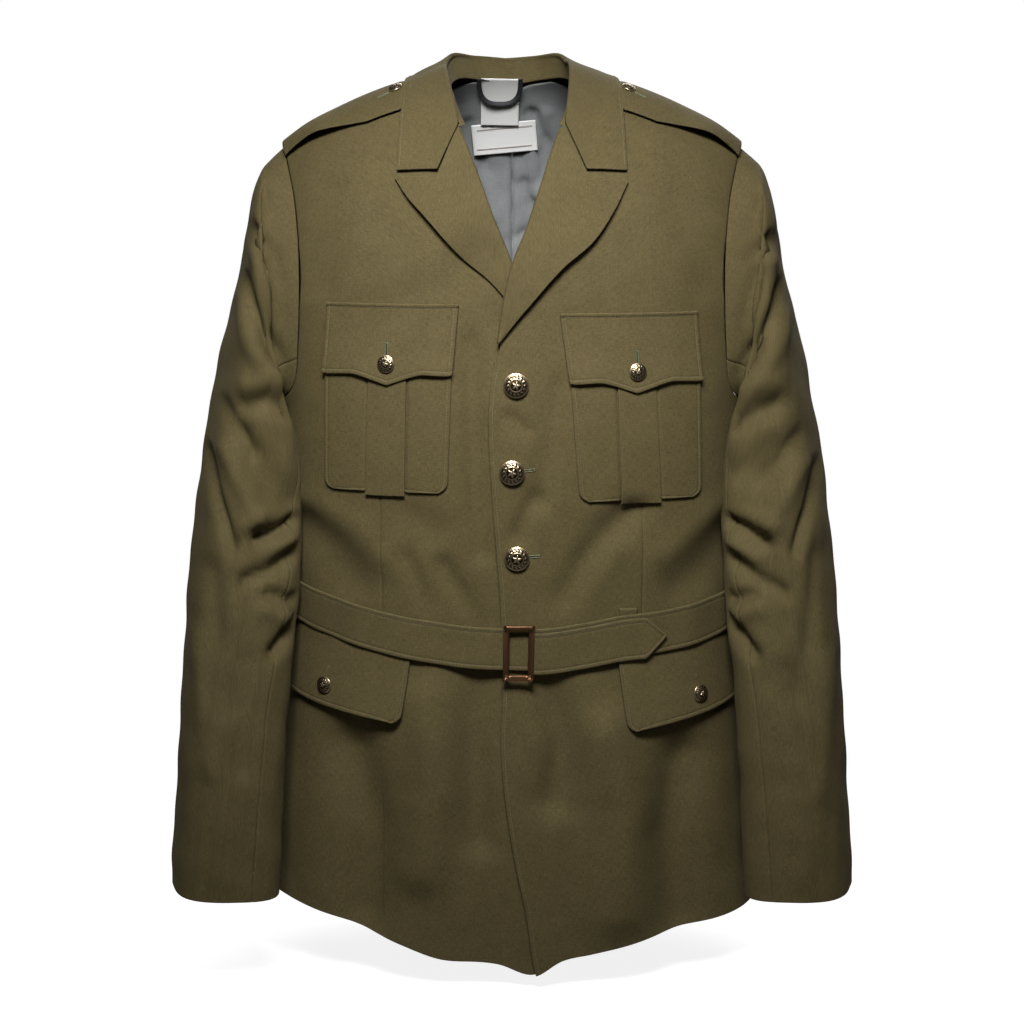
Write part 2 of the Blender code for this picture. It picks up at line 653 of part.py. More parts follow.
def make_lower_flaps():
    for word, shape in LOWER_FLAPS.items():
        side = shape["side"]
        share = np.array([0, 0.04, 0.14, 0.26, 0.38, 0.5, 0.62, 0.74, 0.86, 0.96, 1.0])
        rows = np.array([0, 0.3, 0.6, 0.88, 1.0])
        start = shape["inner"][0] + (shape["inner"][1] - shape["inner"][0]) * rows
        angles = start[:, None] + (shape["outer"] - start)[:, None] * share[None]
        rise = LOWER_FLAP_RISE * share
        top = along(BELT_LINE, side * angles[0])[:, 0] + 0.004
        bottom = shape["bottom"] + rise
        z = top[None] + (bottom - top)[None] * rows[:, None]
        z[-1, 0] += 0.006
        z[-1, -1] += 0.006
        off = 0.0011 + FLAP_THICK * 0.8 + 0.0043 * rows[:, None] ** 2 + 0 * z
        grid = round_body(side * angles, z, off)
        sheet(f"lower_flap_{word}", grid, FLAP_THICK * 0.8, WOOL, flip=side > 0)
        angle = side * 52.5
        height = shape["bottom"] + LOWER_FLAP_RISE * 0.38 + 0.0205
        near = round_body(np.array([angle]), np.array([height]), 0.0)[0]
        far = round_body(np.array([angle]), np.array([height]), 0.01)[0]
        out = (far - near) / 0.01
        button(f"lower_button_{word}", near + out * 0.0068, out, BUTTON_SMALL, 0.0042)


def make_belt():
    angles = np.linspace(-180, 180, 49)[:-1]
    heights = along(BELT_LINE, angles)[:, 0]
    rows = np.linspace(-0.5, 0.5, 3)[:, None] * BELT_WIDTH
    off = BELT_OFF + BELT_THICK + FLAP_LIFT * smoothstep(np.abs(angles), 16, 25)
    grid = round_body(angles[None] + 0 * rows, heights[None] + rows, off[None] + 0 * rows)
    sheet("belt", grid, BELT_THICK, WOOL, closed=True)
    angles = np.linspace(BELT_TIP_FROM, BELT_TIP_END, 12)
    heights = along(BELT_LINE, angles)[:, 0] - 0.0035
    point = np.interp(BELT_TIP_END - angles, [0, 3.2, 5.6], [0.03, 0.62, 1.0])
    off = BELT_OFF + BELT_THICK * 2 + 0.0012 + FLAP_LIFT * smoothstep(np.abs(angles), 16, 25)
    tall = heights[None] + rows * point[None]
    grid = round_body(angles[None] + 0 * rows, tall, off[None] + 0 * rows)
    sheet("belt_end", grid, BELT_THICK, WOOL)
    angles = np.linspace(*BELT_LOOP["angles"], 4)
    heights = np.linspace(*BELT_LOOP["heights"], 3)[:, None]
    grid = round_body(angles[None], heights, BELT_LOOP["off"] + 0 * heights * angles)
    sheet("belt_loop", grid, BELT_LOOP["thick"], WOOL, flip=True)


def make_buckle():
    size = BUCKLE
    near, out = front_normal(size["x"], size["z"])
    shape = bmesh.new()
    bmesh.ops.create_cube(shape, size=1.0)
    bmesh.ops.scale(shape, vec=(size["width"], size["thick"], size["height"]), verts=shape.verts)
    caps = [face for face in shape.faces if abs(face.normal.y) > 0.9]
    bmesh.ops.inset_individual(shape, faces=caps, thickness=size["bar"], depth=0)
    bmesh.ops.bridge_loops(shape, edges=list({edge for face in caps for edge in face.edges}))
    bmesh.ops.delete(shape, geom=caps, context="FACES_ONLY")
    bmesh.ops.recalc_face_normals(shape, faces=shape.faces)
    piece = add_object("buckle", shape, BRONZE, smooth=False)
    piece.location = near + out * (BELT_OFF + BELT_THICK * 2 + 0.0012 + 0.0024)


def make_epaulettes():
    for side, word in ((1, "left"), (-1, "right")):
        inward = np.array([0, 0.2, 0.4, 0.6, 0.8, 0.93, 1.0])
        across = np.linspace(0, 1, 7)
        front = np.interp(inward, EPAULETTE["at"], EPAULETTE["front"])
        back = np.interp(inward, EPAULETTE["at"], EPAULETTE["back"])
        y = front[:, None] + (back - front)[:, None] * across[None]
        sewn = 0.2095 - 7.0 * y**2
        x = sewn + (EPAULETTE["inner_x"] - sewn) * inward[:, None]
        grid = shoulder_top(side * x, y, EPAULETTE["off"])
        sheet(f"epaulette_{word}", grid, DOUBLE, WOOL, flip=side < 0)
        x, y = np.array([[side * EPAULETTE["button"][0]], [EPAULETTE["button"][1]]])
        spot = shoulder_top(x, y, EPAULETTE["off"] + 0.0014)[0]
        far = shoulder_top(x, y, EPAULETTE["off"] + 0.0114)[0]
        button(f"epaulette_button_{word}", spot, far - spot, BUTTON_SHOULDER, 0.0034)


def make_neck_labels():
    def label(name, x, z, width, height, off, finish):
        xs = np.linspace(x - width / 2, x + width / 2, 4)
        zs = np.linspace(z + height / 2, z - height / 2, 4)
        xx, zz = np.meshgrid(xs, zs)
        rise = (zz - BASE) / (ridge(xx) - BASE)
        y = 0.122 * np.sqrt(1 - rise**2) - off
        sheet(name, np.stack([xx, y, zz], -1), 0.0006, finish)

    label("main_label", -0.0072, -0.0525, 0.062, 0.029, 0.0085, WHITE)
    label("care_label", -0.0115, -0.0240, 0.036, 0.026, 0.0105, WHITE)
    steps = np.linspace(0, math.pi, 13)
    route = [(-0.0115 + 0.017 * math.cos(s), 0.0, -0.0085 - 0.0155 * math.sin(s)) for s in steps]
    curve = bpy.data.curves.new("hanger_loop", "CURVE")
    curve.dimensions = "3D"
    curve.bevel_depth = 0.0014
    curve.bevel_resolution = 2
    curve.use_fill_caps = True
    line = curve.splines.new("POLY")
    line.points.add(len(route) - 1)
    for point, (x, _, z) in zip(line.points, route):
        rise = (z - BASE) / (float(ridge(x)) - BASE)
        point.co = (x, 0.122 * math.sqrt(1 - rise**2) - 0.0150, z, 1)
    loop = bpy.data.objects.new("hanger_loop", curve)
    bpy.context.scene.collection.objects.link(loop)
    curve.materials.append(colour_of("hanger_loop", TAPE))


def make_tunic():
    for old in list(bpy.data.objects):
        bpy.data.objects.remove(old, do_unlink=True)
    make_body()
    make_lining()
    make_sleeves()
    make_lapels()
    make_collar()
    make_front_buttons()
    make_chest_pockets()
    make_lower_flaps()
    make_belt()
    make_buckle()
    make_epaulettes()
    make_neck_labels()


make_tunic()
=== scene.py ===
import math

import bmesh
import bpy
import numpy as np
from mathutils import Matrix, Vector


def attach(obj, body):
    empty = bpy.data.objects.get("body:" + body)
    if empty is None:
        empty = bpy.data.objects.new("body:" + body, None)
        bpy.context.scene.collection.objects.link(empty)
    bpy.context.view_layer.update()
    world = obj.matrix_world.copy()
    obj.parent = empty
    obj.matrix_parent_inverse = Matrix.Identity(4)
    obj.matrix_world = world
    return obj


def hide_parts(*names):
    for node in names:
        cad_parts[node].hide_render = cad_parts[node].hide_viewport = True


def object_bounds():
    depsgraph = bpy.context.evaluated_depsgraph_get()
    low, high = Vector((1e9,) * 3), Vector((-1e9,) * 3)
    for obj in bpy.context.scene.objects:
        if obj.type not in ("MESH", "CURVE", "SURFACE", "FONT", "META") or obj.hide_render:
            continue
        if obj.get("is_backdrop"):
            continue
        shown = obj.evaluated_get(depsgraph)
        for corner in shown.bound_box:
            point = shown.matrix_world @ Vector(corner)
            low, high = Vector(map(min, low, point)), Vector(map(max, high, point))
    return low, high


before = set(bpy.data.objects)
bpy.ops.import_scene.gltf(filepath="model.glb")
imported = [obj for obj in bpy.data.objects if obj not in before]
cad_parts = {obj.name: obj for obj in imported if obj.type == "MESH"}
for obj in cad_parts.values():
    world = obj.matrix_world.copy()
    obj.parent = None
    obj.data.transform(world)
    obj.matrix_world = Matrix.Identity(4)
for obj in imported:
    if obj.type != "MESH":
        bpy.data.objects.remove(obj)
cadLow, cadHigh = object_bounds()

# The coat's own form: metres, angles from centre front, plus towards the wearer's left
coat = {
    "chestTop": -0.200,  # the chest arches over to the shoulder ridge from here
    "hem": -0.800,
    "armpit": -0.300,
    "sideSeam": 95.0,
    "underlap": 0.0055,  # how far the right front lies inside the left one
    "wall": 0.0016,
    "rings": (  # height, half width, front, back, squareness
        (-0.86, 0.243, 0.128, 0.128, 2.4), (-0.80, 0.241, 0.128, 0.128, 2.4),
        (-0.70, 0.232, 0.127, 0.124, 2.4), (-0.60, 0.220, 0.124, 0.116, 2.4),
        (-0.50, 0.211, 0.120, 0.108, 2.4), (-0.42, 0.213, 0.124, 0.112, 2.4),
        (-0.30, 0.217, 0.128, 0.120, 2.4), (-0.20, 0.222, 0.122, 0.122, 2.4),
        (-0.10, 0.222, 0.122, 0.122, 2.4),
    ),
    "hemLine": (  # angle, height
        (-180, -0.772), (-120, -0.768), (-90, -0.764), (-64, -0.763), (-39, -0.7776),
        (-26, -0.7925), (-16, -0.806), (-3, -0.8115), (5, -0.8215), (11, -0.8070),
        (18, -0.8010), (35, -0.7870), (68, -0.7760), (90, -0.771), (120, -0.769), (180, -0.772),
    ),
    "leftEdge": (  # height, x; above the break the lapel rolls here
        (-0.8215, 0.0224), (-0.808, 0.0196), (-0.761, 0.0130), (-0.716, 0.0037), (-0.681, -0.0023),
        (-0.594, -0.0105), (-0.547, -0.0085), (-0.463, -0.0109), (-0.370, -0.0180), (-0.279, -0.0205),
        (-0.2285, -0.0133), (-0.182, -0.0062), (-0.155, 0.0009), (-0.129, 0.0115), (-0.095, 0.0230),
        (-0.0379, 0.0427), (-0.010, 0.0560), (0.012, 0.0680),
    ),
    "rightEdge": (
        (-0.812, 0.048), (-0.716, 0.035), (-0.594, 0.030), (-0.370, 0.026), (-0.279, 0.022),
        (-0.2285, 0.0133), (-0.190, 0.0080), (-0.155, -0.0009), (-0.120, -0.0150), (-0.0685, -0.0340),
        (-0.0327, -0.0486), (-0.010, -0.0570), (0.012, -0.0680),
    ),
    "frontArmhole": (  # place round it from the shoulder to the pit, angle
        (0, 74.0), (30, 68.8), (60, 62.8), (90, 60.6), (120, 62.7), (150, 69.5), (180, 95.0),
    ),
    "backArmhole": (
        (0, 106.0), (30, 109.7), (60, 113.9), (90, 115.7), (120, 114.0), (150, 108.2), (180, 95.0),
    ),
    "dart": 0.1195,  # distance of the waist darts from the middle
}

rim = {"round": 0.0010, "stitchIn": 0.0042, "dip": 0.00042, "puff": 0.0003, "seamDip": 0.0005}
rimSteps = (0.0002, 0.0005, 0.0009, 0.0015, 0.0024, 0.0033, 0.0039, 0.0045, 0.0052, 0.0064)
seamSteps = (0.0004, 0.0010, 0.0018, 0.0030)


def along(rows, at):  # smooth values through rows whose first column is the place along
    rows = np.array(rows, float)
    keys = rows[:, 0]
    at = np.clip(np.asarray(at, float), keys[0], keys[-1])
    slopes = np.gradient(rows[:, 1:], keys, axis=0)
    i = np.clip(np.searchsorted(keys, at, side="right") - 1, 0, len(keys) - 2)
    span = keys[i + 1] - keys[i]
    t = ((at - keys[i]) / span)[..., None]
    span = span[..., None]
    start, end = rows[i, 1:], rows[i + 1, 1:]
    found = (2 * t**3 - 3 * t**2 + 1) * start + (t**3 - 2 * t**2 + t) * span * slopes[i]
    return found + (3 * t**2 - 2 * t**3) * end + (t**3 - t**2) * span * slopes[i + 1]


def shareOf(points):
    steps = np.linalg.norm(np.diff(points, axis=0), axis=1)
    return np.concatenate([[0], np.cumsum(steps)]) / steps.sum()


def spread(points, at):
    points = np.array(points, float)
    return along(np.column_stack([shareOf(points), points]), at)


def straight(points, at):
    points = np.array(points, float)
    share = shareOf(points)
    return np.stack([np.interp(at, share, points[:, i]) for i in range(points.shape[1])], -1)


def smoothstep(value, low, high):
    t = np.clip((value - low) / (high - low), 0, 1)
    return t * t * (3 - 2 * t)


def ridge(x):
    x = np.abs(x)
    return 0.009 + 0.084 * x - 1.9 * x**2 + 0.020 * np.exp(-((x / 0.055) ** 2))


def section(height):
    values = along(coat["rings"], np.minimum(height, coat["chestTop"]))
    return values[..., 0], values[..., 1], values[..., 2], values[..., 3]


def frontY(x, z):
    halfWidth, front, _, power = section(z)
    flat = np.clip(1 - (np.abs(x) / halfWidth) ** power, 0, 1) ** (1 / power)
    rise = np.clip((z - coat["chestTop"]) / (ridge(x) - coat["chestTop"]), 0, 1)
    return -front * flat * np.sqrt(1 - rise**2)


def bodyPoint(angle, nominal, arch=0.0):
    base = coat["chestTop"]
    angle, nominal = np.broadcast_arrays(np.asarray(angle, float), np.asarray(nominal, float))
    hem = along(coat["hemLine"], angle)[..., 0]
    height = base + (nominal - base) * (hem - base) / (coat["hem"] - base)
    halfWidth, front, back, power = section(height)
    turn = np.radians(angle)
    x = halfWidth * np.sin(turn)
    flat = np.clip(1 - np.abs(np.sin(turn)) ** power, 0, 1) ** (1 / power)
    depth = np.where(np.cos(turn) > 0, -front, back)
    quarter = arch * math.pi / 2
    rise = (ridge(x) - base) * np.sin(quarter)
    return np.stack([x, depth * flat * np.cos(quarter), height + rise], -1)


def angleOf(x, z):
    return np.degrees(np.arcsin(np.clip(x / section(z)[0], -1, 1)))


def armholeRow(around, back):
    angle = float(along(coat["backArmhole" if back else "frontArmhole"], around)[0])
    top = float(ridge(0.221 * abs(math.sin(math.radians(angle)))))
    pit, base = coat["armpit"], coat["chestTop"]
    height = (top + pit) / 2 + (top - pit) / 2 * math.cos(math.radians(around))
    if height <= base:
        return angle, height, 0.0
    return angle, base, math.asin(min(1.0, (height - base) / (top - base))) * 2 / math.pi


def underlap(x):
    return coat["underlap"] * (1 - smoothstep(np.abs(x), 0.030, 0.080))


def unit(vectors):
    return vectors / np.maximum(np.linalg.norm(vectors, axis=-1, keepdims=True), 1e-9)


def onFront(flat, off, inset=None):
    x, z = flat[..., 0], flat[..., 1]
    step = 0.001
    y = frontY(x, z)
    slopeX = (frontY(x + step, z) - frontY(x - step, z)) / (2 * step)
    slopeZ = (frontY(x, z + step) - frontY(x, z - step)) / (2 * step)
    if inset is not None:
        y = y + inset(x)
    out = unit(np.stack([slopeX, -np.ones_like(x), slopeZ], -1))
    return np.stack([x, y, z], -1) + out * (off + frontFolds(x, z))[..., None]


def roundBody(angles, heights, off):
    angles, heights = np.broadcast_arrays(angles, heights)

    def at(angle, height):
        halfWidth, front, back, power = section(height)
        turn = np.radians(angle)
        flat = np.clip(1 - np.abs(np.sin(turn)) ** power, 0, 1) ** (1 / power)
        depth = np.where(np.cos(turn) > 0, -front, back)
        return np.stack([halfWidth * np.sin(turn), depth * flat, height], -1)

    alongRing = at(angles + 1.0, heights) - at(angles - 1.0, heights)
    upward = at(angles, heights + 0.002) - at(angles, heights - 0.002)
    return at(angles, heights) + unit(np.cross(alongRing, upward)) * np.asarray(off)[..., None]


def keepOff(points, gap):
    base = coat["chestTop"]
    x, y, z = points[..., 0], points[..., 1], points[..., 2]
    halfWidth, front, back, power = section(np.full_like(x, base))
    flat = np.clip(1 - (np.abs(x) / halfWidth) ** power, 0, 1) ** (1 / power)
    deep = np.where(y < 0, front, back) * flat
    reach = np.sqrt((y / deep) ** 2 + ((z - base) / (ridge(x) - base)) ** 2)
    grow = np.maximum(1, (1 + gap / np.hypot(y, z - base)) / reach)
    return np.stack([x, y * grow, base + (z - base) * grow], -1)


def shoulderTop(x, y, off):
    base = coat["chestTop"]

    def height(x, y):
        _, front, back, power = section(np.full_like(x, base))
        flat = np.clip(1 - (np.abs(x) / 0.222) ** power, 0, 1) ** (1 / power)
        deep = np.where(y < 0, front, back) * flat
        return base + (ridge(x) - base) * np.sqrt(np.clip(1 - (y / deep) ** 2, 0, 1))

    step = 0.0015
    slopeX = (height(x + step, y) - height(x - step, y)) / (2 * step)
    slopeY = (height(x, y + step) - height(x, y - step)) / (2 * step)
    out = unit(np.stack([-slopeX, -slopeY, np.ones_like(x)], -1))
    return np.stack([x, y, height(x, y)], -1) + out * np.asarray(off)[..., None]


# Creases, given one by one: line in x and z, half width, depth (plus stands out)
bodyCreases = (
    (((-0.200, -0.372), (-0.152, -0.395), (-0.119, -0.425)), 0.016, 0.0022),
    (((-0.190, -0.405), (-0.165, -0.425), (-0.150, -0.455)), 0.024, -0.0040),
    (((-0.097, -0.425), (-0.087, -0.445), (-0.079, -0.470)), 0.008, -0.0016),
    (((-0.062, -0.432), (-0.046, -0.462), (-0.033, -0.490)), 0.009, -0.0030),
    (((-0.090, -0.385), (-0.070, -0.400)), 0.016, -0.0016),
    (((-0.037, -0.230), (-0.034, -0.300), (-0.032, -0.360), (-0.029, -0.420)), 0.010, -0.0026),
    (((0.110, -0.380), (0.084, -0.406), (0.066, -0.430), (0.050, -0.466)), 0.015, -0.0042),
    (((0.090, -0.420), (0.074, -0.445), (0.060, -0.470)), 0.014, 0.0018),
    (((0.045, -0.270), (0.036, -0.315), (0.024, -0.365)), 0.014, -0.0024),
    (((0.005, -0.405), (0.014, -0.382), (0.022, -0.372)), 0.009, -0.0028),
    (((0.000, -0.296), (0.012, -0.306)), 0.008, -0.0016),
    (((0.207, -0.375), (0.172, -0.398), (0.138, -0.425)), 0.014, 0.0020),
    (((0.204, -0.412), (0.184, -0.435), (0.160, -0.462)), 0.022, -0.0038),
    (((-0.150, -0.610), (-0.135, -0.680), (-0.140, -0.760)), 0.026, -0.0036),
    (((-0.080, -0.560), (-0.072, -0.640), (-0.085, -0.720)), 0.022, 0.0024),
    (((-0.030, -0.540), (-0.036, -0.600), (-0.030, -0.690)), 0.016, -0.0020),
    (((0.035, -0.545), (0.048, -0.590), (0.040, -0.650)), 0.018, -0.0030),
    (((0.085, -0.590), (0.105, -0.660), (0.100, -0.760)), 0.026, 0.0030),
    (((0.160, -0.620), (0.150, -0.690), (0.160, -0.770)), 0.024, -0.0034),
    (((-0.030, -0.150), (-0.070, -0.190), (-0.100, -0.200)), 0.016, -0.0014),
    (((0.150, -0.100), (0.175, -0.160), (0.180, -0.250)), 0.018, -0.0018),
    (((-0.160, -0.100), (-0.178, -0.170), (-0.185, -0.260)), 0.018, -0.0018),
)

backCreases = (
    (((-0.185, -0.300), (-0.140, -0.380), (-0.110, -0.430)), 0.020, -0.0034),
    (((0.180, -0.310), (0.135, -0.370), (0.095, -0.425)), 0.018, -0.0036),
    (((-0.070, -0.360), (-0.040, -0.410), (-0.020, -0.440)), 0.014, -0.0026),
    (((0.060, -0.350), (0.045, -0.400), (0.050, -0.440)), 0.016, 0.0022),
    (((-0.120, -0.400), (-0.070, -0.430), (0.010, -0.438)), 0.009, -0.0020),
    (((-0.150, -0.060), (-0.165, -0.150), (-0.170, -0.240)), 0.018, -0.0028),
    (((0.155, -0.060), (0.168, -0.140), (0.165, -0.230)), 0.020, -0.0026),
    (((-0.110, -0.540), (-0.125, -0.640), (-0.120, -0.750)), 0.026, -0.0040),
    (((0.020, -0.560), (0.035, -0.650), (0.030, -0.760)), 0.022, -0.0030),
    (((0.125, -0.550), (0.140, -0.650), (0.150, -0.760)), 0.026, 0.0034),
    (((-0.050, -0.550), (-0.045, -0.640), (-0.060, -0.740)), 0.020, 0.0026),
)

sleeveCreases = {
    "right": (
        (((-0.226, -0.095), (-0.217, -0.118), (-0.209, -0.140)), 0.0040, -0.0026),
        (((-0.240, -0.132), (-0.222, -0.146), (-0.206, -0.156)), 0.0075, -0.0055),
        (((-0.215, -0.160), (-0.209, -0.182), (-0.205, -0.212), (-0.198, -0.235)), 0.0070, -0.0060),
        (((-0.232, -0.152), (-0.224, -0.185), (-0.212, -0.225)), 0.0070, 0.0030),
        (((-0.246, -0.176), (-0.235, -0.205), (-0.222, -0.232), (-0.202, -0.264)), 0.0052, -0.0056),
        (((-0.252, -0.195), (-0.238, -0.235), (-0.220, -0.262)), 0.0080, 0.0026),
        (((-0.246, -0.290), (-0.222, -0.285), (-0.199, -0.297)), 0.0080, -0.0050),
        (((-0.240, -0.270), (-0.215, -0.268)), 0.0090, 0.0026),
        (((-0.266, -0.292), (-0.252, -0.310), (-0.237, -0.330)), 0.0070, -0.0038),
        (((-0.245, -0.318), (-0.226, -0.345), (-0.206, -0.378)), 0.0120, -0.0042),
        (((-0.262, -0.330), (-0.248, -0.360), (-0.232, -0.392)), 0.0080, 0.0036),
        (((-0.284, -0.338), (-0.271, -0.374), (-0.254, -0.418)), 0.0048, -0.0056),
        (((-0.232, -0.408), (-0.216, -0.404), (-0.200, -0.398)), 0.0052, -0.0078),
        (((-0.244, -0.398), (-0.228, -0.390)), 0.0070, 0.0034),
        (((-0.224, -0.424), (-0.204, -0.414)), 0.0045, 0.0030),
        (((-0.243, -0.447), (-0.222, -0.440), (-0.202, -0.428)), 0.0060, -0.0060),
        (((-0.222, -0.461), (-0.198, -0.472)), 0.0052, -0.0050),
        (((-0.226, -0.476), (-0.206, -0.486)), 0.0070, 0.0034),
        (((-0.218, -0.514), (-0.206, -0.500), (-0.195, -0.486)), 0.0060, -0.0072),
        (((-0.276, -0.440), (-0.268, -0.500), (-0.262, -0.560)), 0.0110, -0.0032),
        (((-0.290, -0.500), (-0.283, -0.560), (-0.276, -0.620)), 0.0080, 0.0020),
        (((-0.246, -0.520), (-0.252, -0.570), (-0.246, -0.620)), 0.0090, -0.0022),
        (((-0.262, -0.640), (-0.268, -0.690), (-0.262, -0.740)), 0.0120, 0.0018),
    ),
    "left": (
        (((0.225, -0.105), (0.219, -0.122), (0.211, -0.140)), 0.0042, -0.0026),
        (((0.207, -0.160), (0.221, -0.152), (0.238, -0.141)), 0.0070, -0.0056),
        (((0.222, -0.172), (0.214, -0.202), (0.206, -0.230)), 0.0080, -0.0056),
        (((0.234, -0.160), (0.227, -0.195), (0.216, -0.228)), 0.0070, 0.0030),
        (((0.247, -0.182), (0.236, -0.210), (0.225, -0.234), (0.204, -0.264)), 0.0050, -0.0056),
        (((0.254, -0.210), (0.240, -0.240), (0.222, -0.268)), 0.0080, 0.0028),
        (((0.203, -0.308), (0.221, -0.297), (0.242, -0.288)), 0.0080, -0.0052),
        (((0.214, -0.276), (0.236, -0.268)), 0.0090, 0.0026),
        (((0.262, -0.320), (0.246, -0.340), (0.228, -0.356)), 0.0078, -0.0044),
        (((0.206, -0.352), (0.224, -0.342), (0.240, -0.326)), 0.0110, -0.0030),
        (((0.264, -0.345), (0.250, -0.370), (0.236, -0.396)), 0.0080, 0.0036),
        (((0.284, -0.350), (0.273, -0.384), (0.258, -0.420)), 0.0050, -0.0058),
        (((0.200, -0.398), (0.214, -0.402), (0.231, -0.413)), 0.0052, -0.0078),
        (((0.222, -0.392), (0.240, -0.400)), 0.0070, 0.0034),
        (((0.203, -0.418), (0.222, -0.428)), 0.0045, 0.0030),
        (((0.203, -0.432), (0.222, -0.446), (0.246, -0.457)), 0.0060, -0.0058),
        (((0.197, -0.471), (0.220, -0.462)), 0.0050, -0.0046),
        (((0.206, -0.484), (0.226, -0.474)), 0.0070, 0.0034),
        (((0.200, -0.489), (0.210, -0.502), (0.221, -0.516)), 0.0060, -0.0070),
        (((0.280, -0.430), (0.272, -0.490), (0.262, -0.550)), 0.0110, -0.0034),
        (((0.292, -0.520), (0.286, -0.580), (0.280, -0.640)), 0.0080, 0.0020),
        (((0.250, -0.530), (0.256, -0.580), (0.250, -0.630)), 0.0090, -0.0022),
        (((0.266, -0.650), (0.272, -0.700), (0.266, -0.745)), 0.0120, 0.0018),
    ),
}

liningCreases = (
    (((-0.046, -0.030), (-0.030, -0.070), (-0.034, -0.110)), 0.006, -0.0022),
    (((-0.030, -0.085), (-0.018, -0.120), (-0.010, -0.150)), 0.006, 0.0024),
    (((0.020, -0.020), (0.034, -0.050), (0.030, -0.085)), 0.006, -0.0030),
    (((0.034, -0.018), (0.020, -0.060), (0.026, -0.100)), 0.005, 0.0026),
    (((0.012, -0.090), (0.022, -0.120), (0.012, -0.160)), 0.007, -0.0026),
    (((-0.024, -0.130), (-0.008, -0.150), (0.014, -0.140)), 0.005, -0.0020),
    (((-0.030, -0.170), (0.000, -0.182), (0.030, -0.172)), 0.006, 0.0022),
    (((-0.060, -0.200), (0.000, -0.215), (0.060, -0.200)), 0.009, -0.0022),
    (((-0.100, -0.080), (-0.080, -0.150), (-0.070, -0.220)), 0.010, -0.0030),
    (((0.100, -0.080), (0.085, -0.150), (0.075, -0.220)), 0.010, -0.0030),
)


def creaseHeight(x, z, creases, soft=1.0):
    total = np.zeros_like(x)
    for line, halfWidth, depth in creases:
        halfWidth = halfWidth * soft
        nearest = np.full_like(x, 1e9)
        for (ax, az), (bx, bz) in zip(line, line[1:]):
            dx, dz = bx - ax, bz - az
            t = np.clip(((x - ax) * dx + (z - az) * dz) / (dx * dx + dz * dz), 0, 1)
            nearest = np.minimum(nearest, np.hypot(x - ax - t * dx, z - az - t * dz))
        total += depth * np.exp(-((nearest / halfWidth) ** 2))
    return total


def softWaves(a, b, size, amount, seed=0.0):  # a slow unevenness that no crease line makes
    found = np.sin(a / size + 1.7 * seed) * np.sin(b / size * 0.83 + 2.3 + seed)
    found += 0.6 * np.sin(a / size * 1.9 + b / size * 0.7 + 4.1 * seed)
    found += 0.4 * np.sin(b / size * 2.3 - a / size * 1.1 + 0.9 + seed)
    return amount * found / 2


def frontFolds(x, z):
    pocket = smoothstep(z, -0.385, -0.360) * (1 - smoothstep(z, -0.200, -0.180))
    pocket = pocket * smoothstep(np.abs(x), 0.038, 0.056)  # the cloth stays flat behind the pockets
    fade = 1 - smoothstep(z, -0.075, -0.035)
    belt = np.exp(-(((z + 0.492) / 0.030) ** 2)) * 0.85  # the belt holds the cloth down
    deepen = 1.8 + 2.4 * (1 - smoothstep(z, -0.600, -0.520))
    high = creaseHeight(x, z, bodyCreases) * deepen + softWaves(x, z, 0.021, 0.0008)
    return high * fade * (1 - belt) * (1 - 0.8 * pocket)


def backFolds(x, z):
    fade = 1 - smoothstep(z, -0.075, -0.035)
    belt = np.exp(-(((z + 0.462) / 0.030) ** 2)) * 0.9
    high = creaseHeight(x, z, backCreases) * 1.4 + softWaves(x, z, 0.023, 0.0007, 1.3)
    return high * fade * (1 - belt)


def shares(count, length, near=(), far=()):  # even shares with close ones beside the edges
    found = list(np.linspace(0, 1, count))
    found += [step / length for step in near] + [1 - step / length for step in far]
    kept = [0.0]
    for value in sorted(found):
        if value - kept[-1] > 0.00012 / length:
            kept.append(value)
    kept[-1] = 1.0
    return np.array(kept)


def gridNormals(grid, sign):
    return sign * unit(np.cross(np.gradient(grid, axis=1), np.gradient(grid, axis=0)))


def borderDistances(grid):
    stepsU = np.linalg.norm(np.diff(grid, axis=1), axis=-1)
    stepsV = np.linalg.norm(np.diff(grid, axis=0), axis=-1)
    u = np.concatenate([np.zeros((len(grid), 1)), np.cumsum(stepsU, axis=1)], axis=1)
    v = np.concatenate([np.zeros((1, grid.shape[1])), np.cumsum(stepsV, axis=0)], axis=0)
    return {"left": u, "right": u[:, -1:] - u, "start": v, "end": v[-1:] - v}


def rimHeight(distance, kind):
    if kind == "free" or kind == "plain":
        near = np.minimum(distance, rim["round"])
        drop = rim["round"] - np.sqrt(rim["round"] ** 2 - (rim["round"] - near) ** 2)
        if kind == "plain":
            return -drop
        groove = rim["dip"] * np.exp(-(((distance - rim["stitchIn"]) / 0.0008) ** 2))
        swell = rim["puff"] * np.exp(-(((distance - rim["stitchIn"] * 0.5) / 0.0016) ** 2))
        return swell - groove - drop
    if kind == "seam":
        return -rim["seamDip"] * np.exp(-((distance / 0.0011) ** 2))
    return 0 * distance


